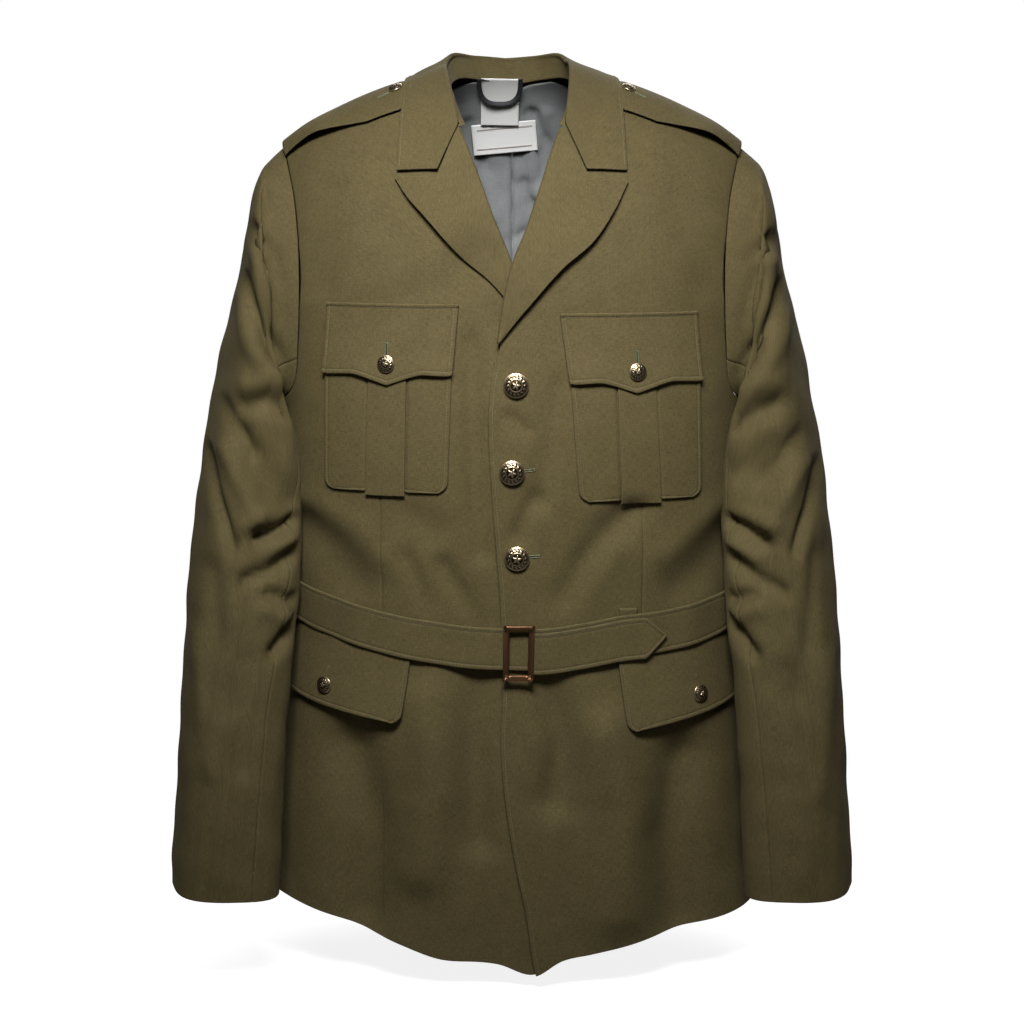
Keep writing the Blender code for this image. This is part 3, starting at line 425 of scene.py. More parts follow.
def clothSheet(
    name, grid, borders, wall, material, slot, nodes, flat, held, away=None, sign=None, **facts
):
    distances = borderDistances(grid)
    if sign is None:
        middle = np.array([0, 0, -0.35]) if away is None else away
        facing = np.cross(np.gradient(grid, axis=1), np.gradient(grid, axis=0))
        sign = 1 if np.sum(facing * (grid - middle)) > 0 else -1
    normals = gridNormals(grid, sign)
    height = np.zeros(grid.shape[:2])
    free = np.full(grid.shape[:2], 0.05)
    for side, kind in zip(("left", "right", "start", "end"), borders):
        height += rimHeight(distances[side], kind)
        if kind in ("free", "plain"):
            free = np.minimum(free, distances[side])
    grid = grid + normals * height[..., None]
    rows, columns = grid.shape[:2]
    shape = bmesh.new()
    bmesh.ops.create_grid(shape, x_segments=columns - 1, y_segments=rows - 1, size=1)
    if sign < 0:
        bmesh.ops.reverse_faces(shape, faces=shape.faces)
    mesh = bpy.data.meshes.new(name)
    shape.to_mesh(mesh)
    shape.free()
    mesh.vertices.foreach_set("co", grid.reshape(-1).astype(np.float32))
    uvs = np.stack([distances["left"], distances["start"]], -1).reshape(-1, 2)
    corners = np.empty(len(mesh.loops), np.int32)
    mesh.loops.foreach_get("vertex_index", corners)
    mesh.uv_layers.new(name="cloth").data.foreach_set("uv", uvs[corners].reshape(-1))
    mesh.attributes.new("rimDistance", "FLOAT", "POINT").data.foreach_set("value", free.reshape(-1))
    mesh.update()
    mesh.shade_smooth()
    piece = bpy.data.objects.new(name, mesh)
    bpy.context.scene.collection.objects.link(piece)
    mesh.materials.append(material)
    if np.linalg.norm(grid[:, 0] - grid[:, -1], axis=-1).max() < 1e-5:
        weld = piece.modifiers.new("Join", "WELD")
        weld.merge_threshold = 0.00002
    solid = piece.modifiers.new("Wall", "SOLIDIFY")
    solid.thickness, solid.offset = wall, -1
    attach(piece, "root")
    if nodes:
        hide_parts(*nodes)
    return piece, grid, normals


threads = []


def lineInside(grid, normals, side, inset, trim=(0.0, 0.0)):  # a line at a distance inside one edge
    distance = borderDistances(grid)[side]
    if side in ("start", "end"):
        grid, normals, distance = grid.swapaxes(0, 1), normals.swapaxes(0, 1), distance.T
    points, outs = [], []
    for row, out, far in zip(grid, normals, distance):
        order = np.argsort(far)
        points.append([np.interp(inset, far[order], row[order, i]) for i in range(3)])
        outs.append([np.interp(inset, far[order], out[order, i]) for i in range(3)])
    points, outs = np.array(points), unit(np.array(outs))
    length = np.concatenate([[0], np.cumsum(np.linalg.norm(np.diff(points, axis=0), axis=1))])
    keep = (length >= trim[0]) & (length <= length[-1] - trim[1])
    return points[keep], outs[keep]


def stitchAlong(points, outs):
    if len(points) > 1:
        threads.append((points, outs))


stitching = {"pitch": 0.0027, "radius": 0.00023, "lift": 0.00016, "sink": -0.0007}


def makeStitching(material):
    for number, start in enumerate(range(0, len(threads), 16), 1):
        parts = bmesh.new()
        for points, outs in threads[start : start + 16]:
            length = np.concatenate([[0], np.cumsum(np.linalg.norm(np.diff(points, axis=0), axis=1))])
            count = max(1, int(length[-1] / stitching["pitch"]))
            cycle = np.array([0.0, 0.10, 0.35, 0.60, 0.70, 0.76, 0.94])
            lift = np.array([0.2, 0.9, 1.0, 0.9, 0.2, -1.0, -1.0])
            at = ((np.arange(count)[:, None] + cycle[None]) * length[-1] / count).reshape(-1)
            lift = np.tile(lift, count)
            lift = np.where(lift > 0, lift * stitching["lift"], stitching["sink"])
            centre = np.stack([np.interp(at, length, points[:, i]) for i in range(3)], -1)
            out = unit(np.stack([np.interp(at, length, outs[:, i]) for i in range(3)], -1))
            aside = unit(np.cross(np.gradient(centre, axis=0), out))
            turn = np.radians([-80, 0, 80])
            ring = centre[:, None] + aside[:, None] * (np.sin(turn) * stitching["radius"])[None, :, None]
            ringHeight = (np.cos(turn) - 0.3) * stitching["radius"] + lift[:, None]
            ring = ring + out[:, None] * ringHeight[..., None]
            made = bmesh.ops.create_grid(parts, x_segments=2, y_segments=len(at) - 1, size=1)["verts"]
            for vert, place in zip(made, ring.reshape(-1, 3)):
                vert.co = place
        bmesh.ops.recalc_face_normals(parts, faces=parts.faces)
        piece = placed(f"topstitching_{number}", parts, material)
        print(piece.name, "rows", len(threads[start : start + 16]))


def placed(name, shape, material, nodes=(), smooth=True):
    mesh = bpy.data.meshes.new(name)
    shape.to_mesh(mesh)
    shape.free()
    piece = bpy.data.objects.new(name, mesh)
    bpy.context.scene.collection.objects.link(piece)
    mesh.materials.append(material)
    if smooth:
        mesh.shade_smooth()
    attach(piece, "root")
    if nodes:
        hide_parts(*nodes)
    return piece


def socket(group, name, kind, inOut, value=None):
    made = group.interface.new_socket(name=name, in_out=inOut, socket_type=kind)
    if value is not None:
        made.default_value = value


def node(tree, kind, place, **settings):
    made = tree.nodes.new(kind)
    made.location = place
    for key, value in settings.items():
        setattr(made, key, value)
    return made


def mathNode(tree, operation, first, second, place):
    made = node(tree, "ShaderNodeMath", place, operation=operation)
    for index, value in enumerate((first, second)):
        if isinstance(value, (int, float)):
            made.inputs[index].default_value = value
        elif value is not None:
            tree.links.new(value, made.inputs[index])
    return made.outputs[0]


def buildWeave():  # threads of a woven cloth: a colour mask and a height, both 0 to 1
    group = bpy.data.node_groups.new("weave", "ShaderNodeTree")
    socket(group, "Rib scale", "NodeSocketFloat", "INPUT", 700.0)
    socket(group, "Fleck scale", "NodeSocketFloat", "INPUT", 900.0)
    socket(group, "Fleck", "NodeSocketFloat", "OUTPUT")
    socket(group, "Height", "NodeSocketFloat", "OUTPUT")
    start = node(group, "NodeGroupInput", (-900, 0))
    end = node(group, "NodeGroupOutput", (500, 0))
    uv = node(group, "ShaderNodeUVMap", (-900, 300), uv_map="cloth")
    ribs = node(group, "ShaderNodeTexWave", (-500, 300), bands_direction="DIAGONAL")
    ribs.inputs["Distortion"].default_value = 0.6
    ribs.inputs["Detail"].default_value = 1.0
    group.links.new(uv.outputs["UV"], ribs.inputs["Vector"])
    group.links.new(start.outputs["Rib scale"], ribs.inputs["Scale"])
    masks = []
    for stretch, place in (((1.0, 0.16, 1.0), 0), ((0.16, 1.0, 1.0), -260)):
        turned = node(group, "ShaderNodeMapping", (-700, place))
        turned.inputs["Scale"].default_value = stretch
        flecks = node(group, "ShaderNodeTexNoise", (-500, place))
        flecks.inputs["Detail"].default_value = 2.0
        group.links.new(uv.outputs["UV"], turned.inputs["Vector"])
        group.links.new(turned.outputs["Vector"], flecks.inputs["Vector"])
        group.links.new(start.outputs["Fleck scale"], flecks.inputs["Scale"])
        masks.append(flecks.outputs["Fac"])
    both = mathNode(group, "ADD", masks[0], masks[1], (-250, -100))
    half = mathNode(group, "MULTIPLY", both, 0.5, (-100, -100))
    high = mathNode(group, "MULTIPLY_ADD", ribs.outputs["Fac"], 0.45, (50, 200))
    group.links.new(half, high.node.inputs[2])
    group.links.new(half, end.inputs["Fleck"])
    group.links.new(high, end.inputs["Height"])
    return group


wool = {
    "dark": (0.074, 0.0570, 0.0215),
    "light": (0.140, 0.1105, 0.0470),
    # colour at free edges: partly real wear, partly a painted highlight along the rims
    "edge": (0.150, 0.126, 0.068),
    "roughness": 0.82,
    "sheen": 0.04,
}


def makeWool(weave):
    material = bpy.data.materials.new("oliveSerge")
    material.use_nodes = True
    tree = material.node_tree
    shader = tree.nodes["Principled BSDF"]
    threadsUsed = node(tree, "ShaderNodeGroup", (-900, 100), node_tree=weave)
    threadsUsed.inputs["Rib scale"].default_value = 720.0
    threadsUsed.inputs["Fleck scale"].default_value = 1250.0
    coords = node(tree, "ShaderNodeTexCoord", (-1100, -300))
    cloud = node(tree, "ShaderNodeTexNoise", (-900, -300))
    cloud.inputs["Scale"].default_value = 55.0
    cloud.inputs["Detail"].default_value = 4.0
    tree.links.new(coords.outputs["Object"], cloud.inputs["Vector"])
    mask = mathNode(tree, "MULTIPLY_ADD", cloud.outputs["Fac"], 0.16, (-550, -100))
    tree.links.new(threadsUsed.outputs["Fleck"], mask.node.inputs[2])
    ramp = node(tree, "ShaderNodeMapRange", (-400, 0))
    ramp.inputs["From Min"].default_value = 0.42
    ramp.inputs["From Max"].default_value = 0.78
    tree.links.new(mask, ramp.inputs["Value"])
    mix = node(tree, "ShaderNodeMix", (-200, 100), data_type="RGBA")
    mix.inputs[6].default_value = (*wool["dark"], 1)
    mix.inputs[7].default_value = (*wool["light"], 1)
    tree.links.new(ramp.outputs["Result"], mix.inputs[0])
    # within 1.4 mm of a free edge the wool turns lighter: partly wear, partly a painted highlight
    rimUsed = node(tree, "ShaderNodeAttribute", (-700, 400), attribute_name="rimDistance")
    near = node(tree, "ShaderNodeMapRange", (-450, 400))
    near.inputs["From Min"].default_value = 0.0014
    near.inputs["From Max"].default_value = 0.0002
    near.inputs["To Max"].default_value = 0.30
    tree.links.new(rimUsed.outputs["Fac"], near.inputs["Value"])
    edge = node(tree, "ShaderNodeMix", (0, 200), data_type="RGBA")
    edge.inputs[7].default_value = (*wool["edge"], 1)
    tree.links.new(near.outputs["Result"], edge.inputs[0])
    tree.links.new(mix.outputs[2], edge.inputs[6])
    tree.links.new(edge.outputs[2], shader.inputs["Base Color"])
    bump = node(tree, "ShaderNodeBump", (-100, -300))
    bump.inputs["Strength"].default_value = 0.55
    bump.inputs["Distance"].default_value = 0.00022
    tree.links.new(threadsUsed.outputs["Height"], bump.inputs["Height"])
    tree.links.new(bump.outputs["Normal"], shader.inputs["Normal"])
    shader.inputs["Roughness"].default_value = wool["roughness"]
    shader.inputs["Specular IOR Level"].default_value = 0.22
    shader.inputs["Sheen Weight"].default_value = wool["sheen"]
    shader.inputs["Sheen Roughness"].default_value = 0.45
    shader.inputs["Sheen Tint"].default_value = (0.75, 0.66, 0.45, 1)
    return material


satin = {"dark": (0.20, 0.208, 0.212), "light": (0.34, 0.35, 0.352), "roughness": 0.34}


def makeSatin(weave):
    material = bpy.data.materials.new("greySatin")
    material.use_nodes = True
    tree = material.node_tree
    shader = tree.nodes["Principled BSDF"]
    threadsUsed = node(tree, "ShaderNodeGroup", (-700, 0), node_tree=weave)
    threadsUsed.inputs["Rib scale"].default_value = 1100.0
    threadsUsed.inputs["Fleck scale"].default_value = 700.0
    mix = node(tree, "ShaderNodeMix", (-300, 100), data_type="RGBA")
    mix.inputs[6].default_value = (*satin["dark"], 1)
    mix.inputs[7].default_value = (*satin["light"], 1)
    tree.links.new(threadsUsed.outputs["Fleck"], mix.inputs[0])
    tree.links.new(mix.outputs[2], shader.inputs["Base Color"])
    bump = node(tree, "ShaderNodeBump", (-300, -200))
    bump.inputs["Strength"].default_value = 0.25
    bump.inputs["Distance"].default_value = 0.0001
    tree.links.new(threadsUsed.outputs["Height"], bump.inputs["Height"])
    tree.links.new(bump.outputs["Normal"], shader.inputs["Normal"])
    shader.inputs["Roughness"].default_value = satin["roughness"]
    shader.inputs["Sheen Weight"].default_value = 0.25
    shader.inputs["Sheen Roughness"].default_value = 0.3
    return material


def makePlain(name, colour, roughness, metallic=0.0):
    material = bpy.data.materials.new(name)
    material.use_nodes = True
    shader = material.node_tree.nodes["Principled BSDF"]
    shader.inputs["Base Color"].default_value = (*colour, 1)
    shader.inputs["Roughness"].default_value = roughness
    shader.inputs["Metallic"].default_value = metallic
    return material


def buildWear():  # what rubs, broken up by fine spots: a mask from 0 to 1
    group = bpy.data.node_groups.new("wear", "ShaderNodeTree")
    socket(group, "Mask", "NodeSocketFloat", "OUTPUT")
    end = node(group, "NodeGroupOutput", (0, 0))
    worn = node(group, "ShaderNodeAttribute", (-700, 200), attribute_name="worn")
    coords = node(group, "ShaderNodeTexCoord", (-900, -100))
    spots = node(group, "ShaderNodeTexNoise", (-700, -100))
    spots.inputs["Scale"].default_value = 900.0
    group.links.new(coords.outputs["Object"], spots.inputs["Vector"])
    mask = mathNode(group, "MULTIPLY_ADD", spots.outputs["Fac"], 0.35, (-500, 0))
    group.links.new(worn.outputs["Fac"], mask.node.inputs[2])
    ramp = node(group, "ShaderNodeMapRange", (-350, 0))
    ramp.inputs["From Min"].default_value = 0.25
    ramp.inputs["From Max"].default_value = 0.95
    group.links.new(mask, ramp.inputs["Value"])
    group.links.new(ramp.outputs["Result"], end.inputs["Mask"])
    return group


def makeMetal(wear, name, hollow, face, roughness):  # darker in the hollows, brighter on what rubs
    material = makePlain(name, face, roughness, 1.0)
    tree = material.node_tree
    shader = tree.nodes["Principled BSDF"]
    worn = node(tree, "ShaderNodeGroup", (-500, 0), node_tree=wear)
    mix = node(tree, "ShaderNodeMix", (-200, 100), data_type="RGBA")
    mix.inputs[6].default_value = (*hollow, 1)
    mix.inputs[7].default_value = (*face, 1)
    tree.links.new(worn.outputs["Mask"], mix.inputs[0])
    tree.links.new(mix.outputs[2], shader.inputs["Base Color"])
    return material


weaveGroup = buildWeave()
woolCloth = makeWool(weaveGroup)
satinCloth = makeSatin(weaveGroup)
threadOlive = makePlain("stitchThread", (0.150, 0.128, 0.070), 0.6)
holeThread = makePlain("buttonholeThread", (0.105, 0.115, 0.060), 0.55)
labelWhite = makePlain("labelWhite", (0.95, 0.95, 0.93), 0.75)
labelBorder = makePlain("labelBorder", (0.46, 0.42, 0.38), 0.75)
tapeCharcoal = makePlain("loopTape", (0.022, 0.023, 0.026), 0.7)
# near-black painted shade for the open cut of each buttonhole
paintedSlitShade = makePlain("buttonholeSlitShade", (0.012, 0.010, 0.006), 0.9)
wearGroup = buildWear()
oldBrass = makeMetal(wearGroup, "oldBrass", (0.075, 0.050, 0.025), (0.74, 0.60, 0.40), 0.34)
bronze = makeMetal(wearGroup, "wornBronze", (0.060, 0.030, 0.014), (0.36, 0.19, 0.095), 0.42)
print("finishes made")


panels = {
    "rowsLow": 92, "rowsHigh": 74, "columnsFront": 82, "columnsBack": 54,
    "flatFront": (0.340, 0.890), "areaFront": 0.235,
    "flatBack": (0.330, 0.850), "areaBack": 0.205,
}


def frontInner(side, nominal, arch):
    edge = coat["leftEdge"] if side > 0 else coat["rightEdge"]
    angle = 0.0
    for _ in range(6):
        point = bodyPoint(angle, nominal, arch)
        x = float(along(edge, point[2])[0])
        if side > 0:
            x += 0.0030 * float(smoothstep(point[2], -0.262, -0.232))  # the roll wraps round it
        else:
            x -= 0.0030 * float(smoothstep(point[2], -0.215, -0.190))
        angle = float(angleOf(x, point[2]))
    return angle


def backInner(side, arch):
    neck = float(smoothstep(arch, 0.68, 1.0)) if arch > 0.68 else 0.0
    return side * (180 - 0.04 - 17.5 * math.sqrt(neck))


def bodyPanel(side, back):
    low = np.linspace(coat["hem"], coat["armpit"], panels["rowsLow"])
    hemRows = coat["hem"] + np.array(rimSteps) * 1.05
    low = np.unique(np.concatenate([low, hemRows]))
    rows = [(coat["sideSeam"], height, 0.0) for height in low]
    places = np.concatenate([np.linspace(178.5, 6, panels["rowsHigh"]), [4, 2.6, 1.6, 1.0, 0.5, 0.0]])
    rows += [armholeRow(place, back) for place in places]
    if back:
        across = shares(panels["columnsBack"], 0.30, seamSteps, seamSteps)
    else:
        across = shares(panels["columnsFront"], 0.30, rimSteps, seamSteps)
        dartSteps = np.array([-0.0030, -0.0018, -0.0010, -0.0005, 0, 0.0005, 0.0010, 0.0018, 0.0030])
        across = np.unique(np.concatenate([across, 0.5 + dartSteps / 0.30]))
    grid = []
    for outer, nominal, arch in rows:
        inner = backInner(side, arch) if back else frontInner(side, nominal, arch)
        outer = side * (outer + (0.05 if back else -0.05))
        if back:
            angles = inner + (outer - inner) * across
        else:
            height = float(bodyPoint(side * 30.0, nominal, arch)[2])
            middle = float(angleOf(side * coat["dart"], height))
            middle = side * min(side * middle, side * (inner + (outer - inner) * 0.75))
            angles = np.interp(across, [0, 0.5, 1], [inner, middle, outer])
        points = bodyPoint(angles, nominal, arch)
        if not back and side < 0:
            points[:, 1] += underlap(points[:, 0])
        if arch > 0.999:
            points[:, 1] = 0.00015 if back else -0.00015
        grid.append(points)
    grid = np.array(grid)
    fold = (backFolds if back else frontFolds)(grid[..., 0], grid[..., 2])
    if not back:
        reach = smoothstep(grid[..., 2], -0.500, -0.480) * (1 - smoothstep(grid[..., 2], -0.372, -0.350))
        fold = fold - 0.0009 * reach * np.exp(-(((np.abs(grid[..., 0]) - coat["dart"]) / 0.0011) ** 2))
    outward = gridNormals(grid, 1)
    outward *= np.sign(np.sum(outward * (grid - np.array([0, 0, -0.35]))))
    return grid + outward * fold[..., None]


for side, word in ((1, "left"), (-1, "right")):
    grid = bodyPanel(side, False)
    piece, made, outs = clothSheet(
        f"coat_front_{word}", grid, ("plain", "seam", "plain", "seam"), coat["wall"], woolCloth, "wool",
        [f"front_{word}"], panels["flatFront"], "hung", area=panels["areaFront"],
    )
    if side > 0:
        points, normals = lineInside(made, outs, "left", 0.0044)
        keep = points[:, 2] < -0.245
        stitchAlong(points[keep], normals[keep])
    grid = bodyPanel(side, True)
    clothSheet(
        f"coat_back_{word}", grid, ("seam", "seam", "plain", "seam"), coat["wall"], woolCloth, "wool",
        [f"back_{word}"], panels["flatBack"], "hung", area=panels["areaBack"],
    )
print("fronts and backs made")


lining = {"in": 0.0075, "flat": (0.185, 0.37), "rows": 66, "columns": 42}


def liningGrid(side):
    base = coat["chestTop"]
    rows = [(height, 0.0) for height in np.linspace(-0.36, base, lining["rows"] // 3)]
    rows += [(base, arch) for arch in np.linspace(0.01, 0.80, lining["rows"])]
    grid = []
    for nominal, arch in rows:
        inner = abs(backInner(1, arch))
        grid.append(bodyPoint(side * np.linspace(inner - 0.05, 122, lining["columns"]), nominal, arch))
    grid = np.array(grid)
    middle = np.array([0, 0, base])
    folds = creaseHeight(grid[..., 0], grid[..., 2], liningCreases)
    folds += softWaves(grid[..., 0], grid[..., 2], 0.010, 0.0007, 0.4)
    folds *= 2.2 * smoothstep(np.abs(grid[..., 0]), 0.0, 0.006)
    folds -= 0.0012 * np.exp(-((np.abs(grid[..., 0]) / 0.0016) ** 2))
    folds -= backFolds(grid[..., 0], grid[..., 2]) / 0.9  # keeps inside the creases of the back
    far = np.linalg.norm(grid - middle, axis=-1)
    moved = middle + (grid - middle) * (1 - (lining["in"] + 0.0012 + folds * 0.9) / far)[..., None]
    moved[..., 0] = np.where(np.abs(grid[..., 0]) < 0.001, side * 0.0001, moved[..., 0])
    return moved


for side, word in ((1, "left"), (-1, "right")):
    clothSheet(
        f"back_lining_{word}", liningGrid(side), ("", "", "", ""), 0.0006, satinCloth, "lining_satin",
        [f"lining_{word}"], lining["flat"], "hung",
    )
print("lining made")


sleeve = {
    "hindSeam": 212.0,  # degrees round from the outside
    "forearmSeam": (  # degrees, at the armhole and at each station
        128, 128, 128, 128, 128, 128, 127, 124, 119, 113, 108, 105, 103, 102,
    ),
    "stations": (  # inner x and z, outer x and z, depth, half depth, turn, squareness
        (0.220, -0.302, 0.2240, -0.069, 0.002, 0.074, 0, 2.2),
        (0.215, -0.306, 0.2340, -0.082, 0.000, 0.078, 2, 2.5),
        (0.212, -0.312, 0.2445, -0.113, -0.002, 0.079, 5, 2.8),
        (0.208, -0.322, 0.2525, -0.165, -0.006, 0.079, 9, 3.0),
        (0.205, -0.337, 0.2640, -0.220, -0.012, 0.077, 13, 3.2),
        (0.204, -0.358, 0.2755, -0.280, -0.020, 0.072, 17, 3.2),
        (0.203, -0.392, 0.2870, -0.350, -0.032, 0.064, 20, 3.1),
        (0.202, -0.440, 0.297, -0.430, -0.050, 0.057, 21, 3.0),
        (0.205, -0.500, 0.303, -0.500, -0.066, 0.052, 20, 2.9),
        (0.211, -0.570, 0.308, -0.570, -0.079, 0.049, 19, 2.7),
        (0.215, -0.640, 0.312, -0.640, -0.089, 0.048, 18, 2.8),
        (0.218, -0.700, 0.316, -0.700, -0.097, 0.047, 17, 2.9),
        (0.220, -0.746, 0.3175, -0.738, -0.102, 0.047, 16, 3.0),
    ),
    "flatTop": (0.310, 0.740),
    "areaTop": 0.170,
    "flatUnder": (0.130, 0.560),
    "areaUnder": 0.062,
}


def sleeveRing(row, side, places):
    inX, inZ, outX, outZ, depth, halfDepth, turn, squareness = row
    turn = math.radians(turn)
    inner, outer = np.array([inX, 0, inZ]), np.array([outX, 0, outZ])
    middle = (inner + outer) / 2 + np.array([0, depth, 0])
    half = (outer - inner) / 2
    wide = np.array([half[0] * math.cos(turn), -half[0] * math.sin(turn), half[2]])
    deep = halfDepth * np.array([math.sin(turn), math.cos(turn), 0])
    around = np.radians(places)
    c, s, power = np.cos(around), -np.sin(around), 2 / squareness
    points = middle + np.outer(np.sign(c) * np.abs(c) ** power, wide)
    points = points + np.outer(np.sign(s) * np.abs(s) ** power, deep)
    return points * np.array([side, 1, 1]), middle * np.array([side, 1, 1])


def armholeLoop(side, places):
    loop = []
    for place in places:
        back = place > 180
        angle, nominal, arch = armholeRow(360 - place if back else place, back)
        loop.append(bodyPoint(angle * side, nominal, arch))
    loop = np.array(loop)
    middle = loop.copy()
    middle[:, 1:] = (0.0, (coat["armpit"] + float(ridge(0.213))) / 2)
    return loop + unit(middle - loop) * 0.0001 + np.array([side * 0.0002, 0, 0])


def sleeveGrid(side, start, end, columns):
    places = start[:, None] + (end - start)[:, None] * columns
    rings = [sleeveRing(row, side, around) for row, around in zip(sleeve["stations"], places[1:])]
    stations = np.array([armholeLoop(side, places[0] % 360)] + [ring for ring, _ in rings])
    middles = np.array([rings[0][1]] + [middle for _, middle in rings])
    nearArmhole = [0, 0.03, 0.07, 0.13, 0.22, 0.33, 0.46, 0.6, 0.75]
    nearCuff = 13 - np.array([0.04, 0.03, 0.018, 0.010, 0.004, 0])
    at = np.unique(np.concatenate([nearArmhole, np.linspace(0.9, 12.96, 148), nearCuff]))
    keys = np.arange(len(stations))
    flatStations = stations.reshape(len(stations), -1)
    grid = along(np.column_stack([keys, flatStations]), at).reshape(len(at), len(columns), 3)
    centre = along(np.column_stack([keys, middles]), at)[:, None]
    outward = gridNormals(grid, 1)
    outward *= np.sign(np.sum(outward * (grid - centre)))
    x, z = grid[..., 0], grid[..., 2]
    word = "left" if side > 0 else "right"
    facing = smoothstep(-outward[..., 1], 0.05, 0.5)
    hidden = smoothstep(outward[..., 1], 0.05, 0.5)
    other = "right" if side > 0 else "left"
    folds = creaseHeight(x, z, sleeveCreases[word], 1.1) * facing
    folds += creaseHeight(-x + side * 0.004, z - 0.012, sleeveCreases[other], 1.1) * hidden * 0.85
    folds += softWaves(z, x * 1.4 + grid[..., 1], 0.016, 0.0008, 0.7 * side)
    folds *= 1.6 * smoothstep(at, 0.1, 1.3)[:, None] * (1 - 0.75 * smoothstep(at, 12.2, 13.0))[:, None]
    return grid + outward * folds[..., None], centre


for side, word in ((1, "left"), (-1, "right")):
    front = np.array(sleeve["forearmSeam"], float)
    hind = np.full_like(front, sleeve["hindSeam"])
    cuts = (
        (
            "sleeve_top", hind - 360 + 0.12, front - 0.12, shares(112, 0.30, seamSteps, seamSteps),
            sleeve["flatTop"], sleeve["areaTop"],
        ),
        (
            "sleeve_under", front + 0.12, hind - 0.12, shares(48, 0.11, seamSteps, seamSteps),
            sleeve["flatUnder"], sleeve["areaUnder"],
        ),
    )
    for name, start, end, columns, flat, area in cuts:
        grid, centre = sleeveGrid(side, start, end, columns)
        clothSheet(
            f"coat_{name}_{word}", grid, ("seam", "seam", "", "plain"), coat["wall"], woolCloth, "wool",
            [f"{name}_{word}"], flat, "hung", away=centre, area=area,
        )
print("sleeves made")


lapels = {
    "left": {
        "side": 1,
        "top": ((0.0440, -0.0395), (0.0655, -0.0870), (0.1035, -0.0880)),
        "edge": (
            (0.1035, -0.0880), (0.0895, -0.1150), (0.0725, -0.1395),
            (0.0451, -0.1632), (0.0168, -0.1948), (-0.0105, -0.2290),
        ),
        "end": -0.2290,
    },
    "right": {
        "side": -1,
        "top": ((-0.0490, -0.0365), (-0.0665, -0.0835), (-0.1045, -0.0850)),
        "edge": (
            (-0.1045, -0.0850), (-0.0925, -0.1022), (-0.0779, -0.1180),
            (-0.0433, -0.1554), (-0.0180, -0.1765), (-0.0060, -0.1900),
        ),
        "end": -0.1900,
    },
    "flat": (0.100, 0.205),
    "area": 0.0092,
    "roll": 0.0032,  # radius of the fold
    "facing": 0.012,  # how far the turned-in cloth shows inside the neck
}


def coons(top, bottom, start, end, across, down):
    u, v = across[None, :, None], down[:, None, None]
    top, bottom = top(across)[None], bottom(across)[None]
    start, end = start(down)[:, None], end(down)[:, None]
    edges = (1 - v) * top + v * bottom + (1 - u) * start + u * end
    corners = (1 - u) * (1 - v) * top[:, :1] + u * (1 - v) * top[:, -1:]
    return edges - corners - (1 - u) * v * bottom[:, :1] - u * v * bottom[:, -1:]


def lapelGrid(shape):
    side = shape["side"]
    edgeLine = coat["leftEdge"] if side > 0 else coat["rightEdge"]
    topZ, lastEdge = shape["top"][0][1], np.array(shape["edge"][-1])

    def roll(share):
        z = topZ + (shape["end"] - topZ) * share
        return np.stack([along(edgeLine, z)[:, 0], z], -1)

    across = shares(44, 0.075, (), rimSteps)
    down = shares(84, 0.19, rimSteps, ())
    flat = coons(
        lambda s: straight(shape["top"], s),
        lambda s: (1 - s[:, None]) * roll(np.array([1.0])) + s[:, None] * lastEdge,
        roll,
        lambda s: spread(shape["edge"], s),
        across,
        down,
    )
    inset = underlap if side < 0 else None
    width = np.linalg.norm(flat[:, -1] - flat[:, 0], axis=-1)
    radius = np.clip(width * 0.40, 0.0004, lapels["roll"])
    first = np.clip(radius / np.maximum(width, 1e-6), 0, 0.45)
    share = first[:, None] + (1 - first[:, None]) * across[None]
    moved = np.empty_like(flat)
    for r in range(len(flat)):
        for axis in range(2):
            moved[r, :, axis] = np.interp(share[r], across, flat[r, :, axis])
    full = 0.0032 + 0.0024 * np.sin(math.pi * share) ** 0.7
    full = full + 0.0052 * share**3 * np.sin(math.pi * np.clip(down, 0.02, 0.98))[:, None] ** 0.8
    if side < 0:
        full = full - smoothstep(-moved[..., 1], 0.12, 0.18) * (full - 0.0034)
    lying = onFront(moved, full, inset)
    rollLine = onFront(moved[:, 0], full[:, 0] * 0, inset)
    out = unit(lying[:, 0] - rollLine)
    inward = unit(lying[:, 1] - lying[:, 0])
    inward = unit(inward - out * np.sum(inward * out, -1, keepdims=True))
    inside = -0.0030
    reach = (full[:, 0] - inside) / 2
    wrap = []
    lengths = np.linspace(lapels["facing"], 0.0005, 9)
    taper = np.clip(width / 0.03, 0.05, 1)
    for length in lengths:
        wrap.append(rollLine + out * inside + inward * (length * taper)[:, None])
    for turn in np.radians(np.linspace(180, 8, 15)):
        up = (inside + reach + reach * math.cos(turn))[:, None]
        wrap.append(rollLine + out * up - inward * (radius * math.sin(turn))[:, None])
    return np.concatenate([np.stack(wrap, 1), lying], 1)


for word in ("left", "right"):
    shape = lapels[word]
    piece, made, outs = clothSheet(
        f"coat_lapel_{word}", lapelGrid(shape), ("", "plain", "plain", ""), 0.0011, woolCloth, "wool",
        [f"lapel_{word}"], lapels["flat"], "folded", area=lapels["area"],
    )
print("lapels made")


